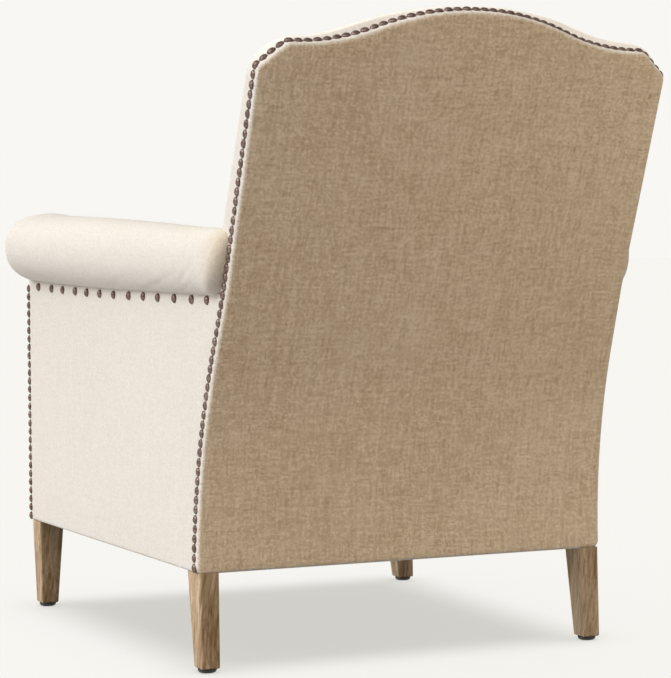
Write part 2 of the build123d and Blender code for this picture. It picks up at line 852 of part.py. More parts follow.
with BuildPart() as nails_front_left:
    diagonal = corner_radius * sin(pi / 4)
    corner_x = front_half_width - corner_radius + diagonal
    corner_y = front_face + corner_radius - diagonal
    corner_rise = side_top - corner_nail_drop - nail_first_height
    corner_count = round(corner_rise / nail_pitch)
    corner_step = corner_rise / corner_count
    corner_heights = [nail_first_height + step * corner_step for step in range(corner_count + 1)]
    add(nail_heads([Plane(origin=(corner_x, corner_y, z), z_dir=(1, -1, 0)) for z in corner_heights]))
pieces["nails_front_left"] = nails_front_left

# The right side mirrors the left
for name in [name for name in pieces if name.endswith("_left")]:
    with BuildPart() as right_piece:
        mirror(pieces[name].part, about=Plane.YZ)
    pieces[name.replace("_left", "_right")] = right_piece

os.makedirs("parts", exist_ok=True)
for name, piece in pieces.items():
    piece.part.label = name
    export_step(piece.part, "parts/" + name + ".step")
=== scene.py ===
from math import atan, atan2, cos, exp, pi, radians, sin, sqrt, tan

import bmesh
import bpy
import numpy as np
from mathutils import Matrix, Vector


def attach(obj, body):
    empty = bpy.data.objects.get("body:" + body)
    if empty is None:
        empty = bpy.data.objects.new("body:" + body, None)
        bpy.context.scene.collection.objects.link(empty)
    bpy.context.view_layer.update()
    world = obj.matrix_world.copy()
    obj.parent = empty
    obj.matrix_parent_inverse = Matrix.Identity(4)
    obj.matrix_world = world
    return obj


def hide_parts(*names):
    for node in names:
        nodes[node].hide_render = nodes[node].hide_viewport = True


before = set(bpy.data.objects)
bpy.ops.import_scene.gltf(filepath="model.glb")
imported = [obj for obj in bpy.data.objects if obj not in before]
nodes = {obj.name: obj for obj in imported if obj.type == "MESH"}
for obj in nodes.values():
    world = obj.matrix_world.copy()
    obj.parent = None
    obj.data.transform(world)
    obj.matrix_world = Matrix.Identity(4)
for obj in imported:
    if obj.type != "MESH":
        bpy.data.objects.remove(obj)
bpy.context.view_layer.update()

scene = bpy.context.scene
print("frame loaded:", len(nodes), "nodes")

# Upholstered body, in metres: the sitter faces -Y, and the floor is z = 0
body = dict(
    bottom=0.140, sideTop=0.5277, frontHalf=0.3405, rearHalf=0.3205, backHalf=0.308,
    frontFace=-0.4705, rearFace=0.257, rake=radians(21.3), rakeCorner=0.301, bendRadius=0.8,
    crest=0.9045, crestDrop=0.0504, shoulder=0.050, cutAcross=0.038, cutUp=0.033, cutSoft=0.013,
    footCorner=0.010, humpShare=0.56, seamClimb=0.0070, armThickness=0.078,
    deckTop=0.330, seatDepth=0.116, crestDepth=0.066,
)
rake = body["rake"]
bendStart = body["rakeCorner"] - body["bendRadius"] * tan(rake / 2)
bendRun = body["bendRadius"] * rake
uprightRun = bendStart - body["bottom"]
kneeLevel = (bendStart + body["bendRadius"] * sin(rake)) / cos(rake)
runOffset = uprightRun + bendRun - kneeLevel  # from a level up the raked plane to a run up the cloth
crestTop = body["crest"] / cos(rake)
shoulderTop = crestTop - body["crestDrop"]
shoulderRun = body["backHalf"] - body["shoulder"]
crestTurn = 2 * atan(body["crestDrop"] / shoulderRun)
arcTotal = shoulderRun / sin(crestTurn)
humpRadius = body["humpShare"] * arcTotal
dipRadius = arcTotal - humpRadius
humpCentre = crestTop - humpRadius
dipCentre = humpCentre + arcTotal * cos(crestTurn)
sideTopRun = body["sideTop"] / cos(rake) + runOffset
cornerRun = shoulderTop - body["shoulder"] + runOffset


def between(first, last, share):
    return first + (last - first) * share


def eased(share):
    # from 0 to 1 with a soft start and end
    return share**2 * (3 - 2 * share)


def rearY(z, depth):
    # y of the rear face at a height, set forward by a depth
    radius = body["bendRadius"] + depth
    rise = np.asarray(z, float) - bendStart
    bend = np.sqrt(np.maximum(radius**2 - rise**2, 0))
    curved = body["rearFace"] + body["bendRadius"] - np.where(rise > 0, bend, radius)
    straight = body["rearFace"] + (z - body["rakeCorner"]) * tan(rake) - depth / cos(rake)
    return np.where(rise < radius * sin(rake), curved, straight)


def sideX(y, z, inset):
    # half width of the flared body at a place
    low = (body["frontHalf"] - body["rearHalf"]) / (body["rearFace"] - body["frontFace"])
    high = (body["frontHalf"] - body["backHalf"]) / (rearY(body["sideTop"], 0) - body["frontFace"])
    share = (z - body["bottom"]) / (body["sideTop"] - body["bottom"])
    return body["frontHalf"] - inset - (low + (high - low) * share) * (y - body["frontFace"])


def seamZ(y):
    # level of the seam under the arm roll, which climbs a little towards the front
    share = np.clip(1 - (np.asarray(y, float) - body["frontFace"]) / 0.40, 0, 1)
    return body["sideTop"] + body["seamClimb"] * share**1.5


def backPoint(x, run, depth):
    # point at a run up the rear cloth and a depth forward of it
    run, depth = np.asarray(run, float), np.asarray(depth, float)
    turn = np.clip((run - uprightRun) / body["bendRadius"], 0, rake)
    radius = body["bendRadius"] + depth
    beyond = np.maximum(run - uprightRun - bendRun, 0)
    below = np.minimum(run - uprightRun, 0)
    y = body["rearFace"] + body["bendRadius"] - radius * np.cos(turn) + beyond * sin(rake)
    z = bendStart + radius * np.sin(turn) + beyond * cos(rake) + below
    return np.stack(np.broadcast_arrays(x, y, z), axis=-1)


def edgeX(run):
    # half width of the rear edge at a run
    place = backPoint(0, run, 0)
    level = np.minimum(place[..., 2], body["sideTop"])
    return np.where(run < sideTopRun, sideX(place[..., 1], level, 0), body["backHalf"])


def camelHalf(inset, lowRun=0.0, cornerSoft=body["cutSoft"]):
    # left half of the camel outline, from its foot corner to the middle of the crest, as (x, run)
    top, side = cornerRun + body["shoulder"] - inset, body["backHalf"] - inset
    slope = atan2(body["cutAcross"], body["cutUp"])
    soft = max(cornerSoft - inset, 0.002)
    reach = cos(slope) * body["backHalf"] + sin(slope) * (top + inset - body["cutUp"]) - inset
    lowBend, highBend = (reach - cos(slope) * side) / sin(slope), (reach - sin(slope) * top) / cos(slope)
    lowCentre = np.array([side - soft, lowBend - soft * tan(slope / 2)])
    highCentre = np.array([highBend - soft * tan((pi / 2 - slope) / 2), top - soft])
    run = np.linspace(lowRun, lowCentre[1], 160)
    line = np.stack([edgeX(run) - inset, run], axis=1)
    turn = np.linspace(0, slope, 14)[1:, None]
    lowArc = lowCentre + soft * np.concatenate([np.cos(turn), np.sin(turn)], axis=1)
    turn = np.linspace(slope, pi / 2, 14)[:, None]
    highArc = highCentre + soft * np.concatenate([np.cos(turn), np.sin(turn)], axis=1)
    shoulder = np.concatenate([lowArc, (lowArc[-1:] + highArc[:1]) / 2, highArc])
    turn = np.linspace(0, crestTurn, 60)
    dip, hump = dipRadius + inset, humpRadius - inset
    dipArc = np.stack([shoulderRun - dip * np.sin(turn), dipCentre + runOffset - dip * np.cos(turn)], axis=1)
    dipArc = dipArc[dipArc[:, 0] < highCentre[0] - 0.001]
    turn = turn[::-1]
    humpArc = [hump * np.sin(turn), humpCentre + runOffset + hump * np.cos(turn)]
    parts = [line, shoulder, dipArc, np.stack(humpArc, axis=1)[1:]]
    return np.concatenate(parts), len(line) + len(lowArc)


def lengthsOf(points):
    return np.concatenate([[0], np.cumsum(np.linalg.norm(np.diff(points, axis=0), axis=1))])


def lengthsRound(loop):
    # lengths up to each point of a closed line
    return lengthsOf(np.concatenate([loop, loop[:1]]))[:-1]


def resample(points, shares):
    # points at shares of a polyline's length
    lengths = lengthsOf(points)
    at = np.asarray(shares) * lengths[-1]
    return np.stack([np.interp(at, lengths, column) for column in points.T], axis=1)


def spacing(length, step, near):
    # shares from 0 to 1: close together near both ends, even between
    near = np.asarray(near)
    middle = np.linspace(near[-1], length - near[-1], max(int((length - 2 * near[-1]) / step), 2) + 1)
    return np.concatenate([near[:-1], middle, length - near[-2::-1]]) / length


edgeSteps = (0, 0.0006, 0.0014, 0.0024, 0.0036, 0.0052, 0.0075, 0.011, 0.016)
padSteps = (0, 0.0015, 0.0035, 0.006, 0.009, 0.0125, 0.0165, 0.021, 0.027)


def camelEdges(inset, lowRun, across, upward, cornerSoft=body["cutSoft"]):
    # the foot, both sides and the top of the outline, cut at the corners, at shares of each
    half, middle = camelHalf(inset, lowRun, cornerSoft)
    radius = max(body["footCorner"] - inset, 0.0004)
    turn = np.linspace(-pi / 2, 0, 9)
    arc = half[0] + np.stack([radius * (np.cos(turn) - 1), radius * (np.sin(turn) + 1)], axis=1)
    above = half[half[:, 1] > lowRun + radius]
    middle -= len(half) - len(above)
    left = np.concatenate([arc[4:], above[: middle + 1]])
    mirror = np.array([-1, 1])
    top = np.concatenate([above[middle:], above[-2 : middle - 1 : -1] * mirror])
    foot = np.concatenate([arc[4::-1], arc[:5] * mirror])
    foot = np.concatenate([foot[:5], np.linspace(foot[4], foot[5], 60)[1:-1], foot[5:]])
    sides = resample(left, upward)
    return resample(foot, across), resample(top, across), sides, sides * mirror


def camelPatch(inset, lowRun, step, near, cornerSoft=body["cutSoft"]):
    # grid of (x, run) that fills the camel outline, from +X to -X and upwards, and the shares along its edges
    half, middle = camelHalf(inset, lowRun, cornerSoft)
    across = spacing(2 * half[0, 0], step, near)
    upward = spacing(lengthsOf(half[: middle + 1])[-1], step, near)
    bottomEdge, topEdge, leftEdge, rightEdge = camelEdges(inset, lowRun, across, upward, cornerSoft)
    u, v = across[None, :, None], upward[:, None, None]
    grid = (1 - v) * bottomEdge[None] + v * topEdge[None] + (1 - u) * leftEdge[:, None] + u * rightEdge[:, None]
    corners = [bottomEdge[0], bottomEdge[-1], topEdge[0], topEdge[-1]]
    grid -= (1 - v) * ((1 - u) * corners[0] + u * corners[1]) + v * ((1 - u) * corners[2] + u * corners[3])
    return grid, across, upward


def camelLoop(inset, lowRun, across, upward, cornerSoft=body["cutSoft"]):
    # closed loop of the outline with the points in the order of boundaryLoop
    bottomEdge, topEdge, leftEdge, rightEdge = camelEdges(inset, lowRun, across, upward, cornerSoft)
    return np.concatenate([bottomEdge[:-1], rightEdge[:-1], topEdge[:0:-1], leftEdge[:0:-1]])


def roundOff(distance, radius):
    # how far a rounded edge falls back at a distance from it
    inside = np.clip(radius - distance, 0, radius)
    return radius - np.sqrt(radius**2 - inside**2)


def placed(name, data):
    made = bpy.data.objects.new(name, data)
    scene.collection.objects.link(made)
    return made


def meshObject(name, vertices, faces, cloth):
    # mesh with a UV map in metres; cloth holds one pair for each vertex
    mesh = bpy.data.meshes.new(name)
    mesh.from_pydata(np.asarray(vertices).tolist(), [], [tuple(map(int, face)) for face in faces])
    mesh.uv_layers.new(name="cloth")
    corner = np.zeros(len(mesh.loops), int)
    mesh.loops.foreach_get("vertex_index", corner)
    mesh.uv_layers["cloth"].data.foreach_set("uv", np.asarray(cloth, np.float32)[corner].ravel())
    mesh.polygons.foreach_set("use_smooth", np.ones(len(mesh.polygons), bool))
    mesh.update()
    return placed(name, mesh)


def gridFaces(rows, columns, around=False, closed=False, start=0):
    # quads of a grid; around joins its last column to the first, closed its last row
    index = np.arange(rows * columns).reshape(rows, columns) + start
    if closed:
        index = np.concatenate([index, index[:1]])
    if around:
        index = np.concatenate([index, index[:, :1]], axis=1)
    quads = [index[:-1, :-1], index[:-1, 1:], index[1:, 1:], index[1:, :-1]]
    return np.stack(quads, axis=-1).reshape(-1, 4)


def boundaryLoop(rows, columns):
    index = np.arange(rows * columns).reshape(rows, columns)
    return np.concatenate([index[0, :-1], index[:-1, -1], index[-1, :0:-1], index[:0:-1, 0]])


def outwardOf(loop):
    # outward directions of a flat line that runs round an area
    after = np.roll(loop, -1, axis=0)
    turning = np.sign(np.sum(loop[:, 0] * after[:, 1] - loop[:, 1] * after[:, 0]))
    along = after - np.roll(loop, 1, axis=0)
    along /= np.maximum(np.linalg.norm(along, axis=1, keepdims=True), 1e-12)
    return np.stack([along[:, 1], -along[:, 0]], axis=1) * turning


def markUnshaded(piece, values):
    # share of the second, pale tones of its linen that each point shows in place of the first tones, which carry
    # painted warm shade
    mark = piece.data.attributes.new("turned", "FLOAT", "POINT")
    mark.data.foreach_set("value", np.asarray(values, np.float32))


def rimmedPanel(name, flat, depth, onSurface, rims):
    # panel from a flat grid and rims from its edge outwards; rims are (loop, depth, cloth loop)
    rows, columns = flat.shape[:2]
    vertices, maps = [onSurface(flat, depth).reshape(-1, 3)], [flat.reshape(-1, 2)]
    faces = [gridFaces(rows, columns)]
    inner, start = boundaryLoop(rows, columns), rows * columns
    for loop, down, cloth in rims:
        vertices.append(onSurface(loop, down))
        maps.append(cloth)
        outer = np.arange(start, start + len(loop))
        faces.append(np.stack([inner, outer, np.roll(outer, -1), np.roll(inner, -1)], axis=1))
        inner, start = outer, start + len(loop)
    return meshObject(name, np.concatenate(vertices), np.concatenate(faces), np.concatenate(maps))


def faceAway(piece, direction):
    # turns the faces so that they look the given way on average
    mesh = piece.data
    normals = np.zeros(len(mesh.polygons) * 3)
    mesh.polygons.foreach_get("normal", normals)
    areas = np.zeros(len(mesh.polygons))
    mesh.polygons.foreach_get("area", areas)
    if (normals.reshape(-1, 3) * areas[:, None]).sum(axis=0) @ np.array(direction) < 0:
        mesh.flip_normals()
    return piece


def thicken(piece, thickness):
    solid = piece.modifiers.new("thickness", "SOLIDIFY")
    solid.thickness, solid.offset, solid.use_even_offset = thickness, -1, False
    solid.use_rim = True
    applyModifiers(piece)
    return piece


def applyModifiers(piece):
    graph = bpy.context.evaluated_depsgraph_get()
    mesh = bpy.data.meshes.new_from_object(piece.evaluated_get(graph), depsgraph=graph)
    piece.modifiers.clear()
    old, piece.data = piece.data, mesh
    mesh.name = piece.name
    bpy.data.meshes.remove(old)
    return piece


def sheetPiece(name, rows, maps, direction, thickness):
    # thickened sheet from rows of points and their places on the cloth
    grid = np.stack(rows)
    piece = meshObject(name, grid.reshape(-1, 3), gridFaces(*grid.shape[:2]), np.concatenate(maps))
    faceAway(piece, direction)
    return thicken(piece, thickness)


def mirrored(piece, name):
    mesh = piece.data.copy()
    mesh.transform(Matrix.Diagonal((-1, 1, 1, 1)))
    mesh.flip_normals()
    mesh.name = name
    return placed(name, mesh)


def finishPiece(piece, material, stands=(), bodyName="root"):
    piece.data.materials.clear()
    piece.data.materials.append(material)
    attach(piece, bodyName)
    if stands:
        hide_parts(*stands)
    return piece


def finishPair(left, name, material, node):
    # the left piece and its mirror image, for the CAD nodes of both sides
    right = mirrored(left, name + "Right")
    finishPiece(left, material, [node + "_left"])
    finishPiece(right, material, [node + "_right"])


# Node helpers
def feed(tree, node, inputs):
    # each input takes a link from a socket, or a value
    for key, value in inputs.items():
        if isinstance(value, bpy.types.NodeSocket):
            tree.links.new(value, node.inputs[key])
        else:
            node.inputs[key].default_value = value
    return node


def place(tree, kind, inputs=None, **settings):
    node = tree.nodes.new(kind)
    for key, value in settings.items():
        setattr(node, key, value)
    return feed(tree, node, inputs or {})


def math(tree, operation, *values):
    return place(tree, "ShaderNodeMath", dict(enumerate(values)), operation=operation).outputs[0]


def mixColour(tree, share, first, second):
    return place(tree, "ShaderNodeMix", {0: share, 6: first, 7: second}, data_type="RGBA").outputs[2]


def rangeOf(tree, value, low, high, toLow, toHigh):
    inputs = {0: value, 1: low, 2: high, 3: toLow, 4: toHigh}
    return place(tree, "ShaderNodeMapRange", inputs).outputs[0]


def relief(tree, height, strength, distance):
    inputs = {"Strength": strength, "Distance": distance, "Height": height}
    return place(tree, "ShaderNodeBump", inputs).outputs[0]


def noise(tree, vector, scale, detail=2.0, roughness=0.5):
    inputs = {"Vector": vector, "Scale": scale, "Detail": detail, "Roughness": roughness}
    return place(tree, "ShaderNodeTexNoise", inputs).outputs[0]


def linear(*srgb):
    # a colour written in 0 to 255, as the shader wants it
    parts = [value / 255 for value in srgb]
    return (*[p / 12.92 if p <= 0.04045 else ((p + 0.055) / 1.055) ** 2.4 for p in parts], 1.0)


def newGroup(name, inputs, outputs, kind="ShaderNodeTree"):
    tree = bpy.data.node_groups.new(name, kind)
    for label, kind, value in inputs:
        socket = tree.interface.new_socket(label, in_out="INPUT", socket_type=kind)
        if value is not None:
            socket.default_value = value
    for label, kind in outputs:
        tree.interface.new_socket(label, in_out="OUTPUT", socket_type=kind)
    return tree, tree.nodes.new("NodeGroupInput"), tree.nodes.new("NodeGroupOutput")


# Plain weave: crossing by crossing height and tone, with slubs along both ways of the cloth

def weaveGroup():
    sockets = [("Cloth", "NodeSocketVector", None)]
    sockets += [(label, "NodeSocketColor", None) for label in ("Ground", "Light Thread", "Dark Thread")]
    sockets += [(label, "NodeSocketFloat", None) for label in ("Pitch", "Fleck", "Slub", "Check", "Cloud")]
    results = [("Color", "NodeSocketColor"), ("Height", "NodeSocketFloat"), ("Roughness", "NodeSocketFloat")]
    tree, given, out = newGroup("plainWeave", sockets, results)
    pitch = given.outputs["Pitch"]
    apart = place(tree, "ShaderNodeSeparateXYZ", {0: given.outputs["Cloth"]})
    wander = noise(tree, given.outputs["Cloth"], 14.0, 1.0, 0.5)
    wander = math(tree, "MULTIPLY", math(tree, "SUBTRACT", wander, 0.5), 0.004)
    u = math(tree, "DIVIDE", math(tree, "ADD", apart.outputs[0], wander), pitch)
    v = math(tree, "DIVIDE", math(tree, "SUBTRACT", apart.outputs[1], wander), pitch)

    def streak(across, along, stretch, seed, detail):
        inputs = {0: across, 1: math(tree, "DIVIDE", along, stretch), 2: seed}
        vector = place(tree, "ShaderNodeCombineXYZ", inputs).outputs[0]
        return math(tree, "SUBTRACT", noise(tree, vector, 1.0, detail, 0.6), 0.5)

    cell = place(tree, "ShaderNodeCombineXYZ", {0: math(tree, "FLOOR", u), 1: math(tree, "FLOOR", v)}).outputs[0]
    fleck = place(tree, "ShaderNodeTexWhiteNoise", {"Vector": cell}, noise_dimensions="2D").outputs["Value"]
    fleck = math(tree, "MULTIPLY", math(tree, "SUBTRACT", fleck, 0.5), given.outputs["Fleck"])
    warp = streak(math(tree, "FLOOR", u), v, 14.0, 3.7, 1.0)
    weft = streak(math(tree, "FLOOR", v), u, 16.0, 9.1, 1.0)
    warpSlub = streak(math(tree, "DIVIDE", u, 2.6), v, 60.0, 14.2, 2.0)
    weftSlub = streak(math(tree, "DIVIDE", v, 2.6), u, 60.0, 21.9, 2.0)
    over = math(tree, "MULTIPLY", math(tree, "SINE", math(tree, "MULTIPLY", u, pi)),
                math(tree, "SINE", math(tree, "MULTIPLY", v, pi)))
    isOver = rangeOf(tree, over, -0.35, 0.35, 0.0, 1.0)
    thread = place(tree, "ShaderNodeMix", {0: isOver, 2: weft, 3: warp}).outputs[0]
    slub = math(tree, "MULTIPLY", math(tree, "ADD", warpSlub, weftSlub), 0.4)
    tone = math(tree, "ADD", math(tree, "MULTIPLY", thread, 1.3), slub)
    tone = math(tree, "ADD", math(tree, "MULTIPLY", tone, given.outputs["Slub"]), fleck)
    check = math(tree, "MULTIPLY", over, given.outputs["Check"])
    cloud = math(tree, "ADD", noise(tree, given.outputs["Cloth"], 4.0, 1.0, 0.5),
                 math(tree, "MULTIPLY", noise(tree, given.outputs["Cloth"], 22.0, 2.0, 0.5), 0.7))
    cloud = math(tree, "MULTIPLY", math(tree, "SUBTRACT", cloud, 0.85), given.outputs["Cloud"])
    total = math(tree, "ADD", math(tree, "ADD", tone, check), cloud)
    lighter = rangeOf(tree, total, 0.0, 0.5, 0.0, 1.0)
    darker = rangeOf(tree, total, 0.0, -0.5, 0.0, 1.0)
    colour = mixColour(tree, lighter, given.outputs["Ground"], given.outputs["Light Thread"])
    colour = mixColour(tree, darker, colour, given.outputs["Dark Thread"])
    height = math(tree, "ADD", math(tree, "MULTIPLY", math(tree, "ABSOLUTE", over), 0.3),
                  math(tree, "ADD", slub, fleck))
    rough = rangeOf(tree, total, -0.5, 0.5, 0.97, 0.86)
    feed(tree, out, {"Color": colour, "Height": height, "Roughness": rough})
    return tree


weave = weaveGroup()

# Linen: ground, light and dark thread in 0 to 255. The real cover is one linen. The warmer back and tuck
# tones partly stand in for the warm shade that the photograph shows there
linenTones = dict(
    pale=((231, 225, 217), (243, 239, 232), (212, 203, 190)),
    # back: painted warm shade for the outside back, on a linen that is really the pale one
    back=((227, 205, 175), (245, 228, 202), (192, 165, 131)),
    # tuck: painted warm shade for the rear ends of the arm rolls, where they meet the back border
    tuck=((219, 206, 187), (234, 225, 210), (198, 183, 160)),
    pitch=0.0018, sheen=0.1, bump=0.3,
)


def newMaterial(name):
    material = bpy.data.materials.new(name)
    material.use_nodes = True
    tree = material.node_tree
    shader = tree.nodes["Principled BSDF"]
    return material, tree, shader


def clothMaterial(name, tones, pitch, fleck, slub, check, cloud, sheen, bump, unshadedTones=None):
    material, tree, shader = newMaterial(name)
    threads = dict(zip(("Ground", "Light Thread", "Dark Thread"), (linear(*tone) for tone in tones)))
    inputs = {**threads, "Pitch": pitch, "Fleck": fleck, "Slub": slub, "Check": check, "Cloud": cloud}
    inputs["Cloth"] = place(tree, "ShaderNodeUVMap", uv_map="cloth").outputs[0]
    if unshadedTones:
        # the mesh says how much of the other tones each place shows, which lifts the painted shade of the first tones
        # there
        turned = place(tree, "ShaderNodeAttribute", attribute_name="turned").outputs["Fac"]
        for key, tone in zip(threads, unshadedTones):
            inputs[key] = mixColour(tree, turned, threads[key], linear(*tone))
    woven = place(tree, "ShaderNodeGroup", inputs, node_tree=weave).outputs
    feed(tree, shader, {
        "Base Color": woven["Color"], "Roughness": woven["Roughness"],
        "Normal": relief(tree, woven["Height"], bump, 0.0004),
        "Specular IOR Level": 0.15, "Sheen Weight": sheen, "Sheen Roughness": 0.5,
    })
    return material


def linenMaterial(name, tones, fleck, slub, check, cloud, unshadedTones=None):
    pitch, sheen, bump = linenTones["pitch"], linenTones["sheen"], linenTones["bump"]
    return clothMaterial(name, linenTones[tones], pitch, fleck, slub, check, cloud, sheen, bump, unshadedTones)


linen = linenMaterial("naturalLinen", "pale", 0.35, 0.38, 0.3, 0.12)
# the back's ground tones are painted warm shade over the whole outside back, giving way to the pale linen near its
# turned edge
paintedShadeBackLinen = linenMaterial("backLinenPaintedShade", "back", 0.62, 1.15, 0.25, 0.3, linenTones["pale"])
# the roll's ground tones are painted warm shade at its rear end; further forward it shows the pale linen
paintedShadeRollLinen = linenMaterial("armRollLinenPaintedShade", "tuck", 0.35, 0.38, 0.3, 0.12, linenTones["pale"])
cottonTones = ((222, 212, 195), (234, 226, 211), (204, 193, 173))
deckCotton = clothMaterial("deckCotton", cottonTones, 0.0009, 0.3, 0.25, 0.15, 0.2, 0.1, 0.2)


def woodMaterial(name, light, dark, pore, scale, rough, slant):
    # grain that runs along Z of the object, with drawn-out figure and fine pores
    material, tree, shader = newMaterial(name)
    coords = place(tree, "ShaderNodeTexCoord").outputs["Object"]
    drift = noise(tree, coords, 9.0, 1.0, 0.5)
    lean = place(tree, "ShaderNodeMapping", {"Vector": coords, "Rotation": (slant, slant, 0)}).outputs[0]
    drift = math(tree, "MULTIPLY", drift, 0.02)
    drift = place(tree, "ShaderNodeCombineXYZ", {0: drift, 1: drift}).outputs[0]
    bent = place(tree, "ShaderNodeVectorMath", {0: lean, 1: drift}, operation="ADD").outputs[0]
    wide = place(tree, "ShaderNodeMapping", {"Vector": bent, "Scale": (scale, scale, scale * 0.06)}).outputs[0]
    figure = noise(tree, wide, 1.0, 4.0, 0.62)
    fine = place(tree, "ShaderNodeMapping", {"Vector": bent, "Scale": (700, 700, 26)}).outputs[0]
    pores = rangeOf(tree, noise(tree, fine, 1.0, 2.0, 0.5), 0.56, 0.70, 0.0, 1.0)
    streaks = place(tree, "ShaderNodeMapping", {"Vector": bent, "Scale": (230, 230, 9)}).outputs[0]
    streak = noise(tree, streaks, 1.0, 3.0, 0.55)
    share = rangeOf(tree, math(tree, "ADD", figure, streak), 0.74, 1.26, 0.0, 1.0)
    colour = mixColour(tree, share, linear(*dark), linear(*light))
    colour = mixColour(tree, math(tree, "MULTIPLY", pores, 0.5), colour, linear(*pore))
    height = math(tree, "SUBTRACT", math(tree, "MULTIPLY", streak, 0.5), pores)
    feed(tree, shader, {
        "Base Color": colour, "Roughness": rangeOf(tree, pores, 0, 1, rough, rough + 0.2),
        "Normal": relief(tree, height, 0.4, 0.0004), "Specular IOR Level": 0.25,
    })
    return material


oak = woodMaterial("weatheredOak", (214, 190, 158), (142, 110, 74), (66, 44, 24), 60.0, 0.6, 0.10)
frameWood = woodMaterial("bareHardwood", (214, 188, 148), (186, 156, 116), (150, 118, 80), 30.0, 0.7, 0.02)


def cloudyMaterial(name, base, second, rough, scale, bump, stretch=(1, 1, 1)):
    # two tones in soft clouds; rough holds the ends of the roughness, bump the strength and depth of the relief
    material, tree, shader = newMaterial(name)
    coords = place(tree, "ShaderNodeTexCoord").outputs["Object"]
    coords = place(tree, "ShaderNodeMapping", {"Vector": coords, "Scale": stretch}).outputs[0]
    cloud = noise(tree, coords, scale, 3.0, 0.6)
    share = rangeOf(tree, cloud, 0.35, 0.65, 0.0, 1.0)
    feed(tree, shader, {
        "Base Color": mixColour(tree, share, linear(*base), linear(*second)),
        "Roughness": rangeOf(tree, cloud, 0.3, 0.7, *rough), "Normal": relief(tree, cloud, *bump),
    })
    return material


metalBump, plainBump = (0.15, 0.0002), (0.2, 0.0003)
bronze = cloudyMaterial("agedBronze", (134, 115, 108), (96, 79, 72), (0.38, 0.58), 160.0, metalBump)
springSteel = cloudyMaterial("springSteel", (120, 122, 126), (84, 84, 88), (0.27, 0.47), 300.0, metalBump)
for metal in (bronze, springSteel):
    metal.node_tree.nodes["Principled BSDF"].inputs["Metallic"].default_value = 1.0
glideBlack = cloudyMaterial("glideBlack", (26, 25, 25), (40, 39, 38), (0.35, 0.45), 300.0, plainBump)
cambric = cloudyMaterial("blackCambric", (30, 29, 28), (52, 50, 48), (0.85, 0.95), 900.0, plainBump)
jute = ((178, 150, 108), (140, 112, 74))
webbingJute = cloudyMaterial("juteWebbing", *jute, (0.85, 0.95), 500.0, plainBump, (1, 1, 0.2))
print("materials made")


# Camera at the photograph's viewing angle
def makeCamera():
    view = dict(place=(1.4965, 3.3460, 0.6156), target=(0.00725, 0.0275, 0.45052), roll=-0.367, lens=126.96)
    data = bpy.data.cameras.new("camera")
    data.lens, data.sensor_width = view["lens"], 36
    data.clip_start, data.clip_end = 0.05, 60
    camera = placed("camera", data)
    away = Vector(view["target"]) - Vector(view["place"])
    turn = away.to_track_quat("-Z", "Y").to_matrix() @ Matrix.Rotation(radians(view["roll"]), 3, "Z")
    camera.matrix_world = Matrix.Translation(view["place"]) @ turn.to_4x4()
    scene.camera = camera


makeCamera()

studio = dict(
    sunTowards=(0.76, -0.27, 0.59), sunStrength=1.72, sunSoftness=28,
    topTowards=(0.3, 0.42, 0.86), topStrength=0.8, topSoftness=40,
    crestTowards=(0.0, 0.80, 0.60), crestStrength=1.15, crestSoftness=30,
    bounceTowards=(0.93, -0.15, -0.34), bounceStrength=0.62, bounceSoftness=60,
    skyColour=(1.0, 0.985, 0.965), skyStrength=0.44, shade=0.47, shadeColour=(1.0, 0.84, 0.65),
    shadeTowards=(0.25, 0.96, 0.1), backdrop=(248, 247, 243),
    fillPlace=(-1.0, 1.15, 0.85), fillSize=0.7, fillPower=2.2, fillAim=(-0.25, 0.3, 0.55),
    floorReach=40, floorTone=0.18, floorSky=0.50, floorSun=1.29, floorSoftness=55,
)


def makeLamp(name, kind, towards, strength):
    data = bpy.data.lights.new(name, kind)
    data.energy = strength
    lamp = placed(name, data)
    lamp.rotation_mode = "QUATERNION"
    lamp.rotation_quaternion = Vector(towards).to_track_quat("Z", "Y")
    return lamp


def makeSun(name, towards, strength, softness):
    lamp = makeLamp(name, "SUN", towards, strength)
    lamp.data.angle = radians(softness)
    return lamp


def makeWorld():
    world = bpy.data.worlds.new("studio")
    scene.world = world
    world.use_nodes = True
    tree = world.node_tree
    tree.nodes.clear()
    path = place(tree, "ShaderNodeLightPath")
    seen = math(tree, "MAXIMUM", path.outputs["Is Camera Ray"], path.outputs["Is Transmission Ray"])
    # dimmer and warmer on the side that the camera stands on
    way = place(tree, "ShaderNodeTexCoord").outputs["Generated"]
    towards = Vector(studio["shadeTowards"]).normalized()
    facing = place(tree, "ShaderNodeVectorMath", {0: way, 1: towards}, operation="DOT_PRODUCT").outputs["Value"]
    share = rangeOf(tree, facing, -0.2, 0.9, 0.0, 1.0)
    shade = tuple(studio["shade"] * c for c in studio["shadeColour"])
    sky = tuple(studio["skyStrength"] * c for c in studio["skyColour"])
    tint = mixColour(tree, share, (*sky, 1), (*shade, 1))
    soft = place(tree, "ShaderNodeBackground", {0: tint, 1: 1.0})
    shown = place(tree, "ShaderNodeBackground", {0: linear(*studio["backdrop"]), 1: 1.0})
    mixed = place(tree, "ShaderNodeMixShader", {0: seen, 1: soft.outputs[0], 2: shown.outputs[0]})
    out = place(tree, "ShaderNodeOutputWorld")
    tree.links.new(mixed.outputs[0], out.inputs[0])


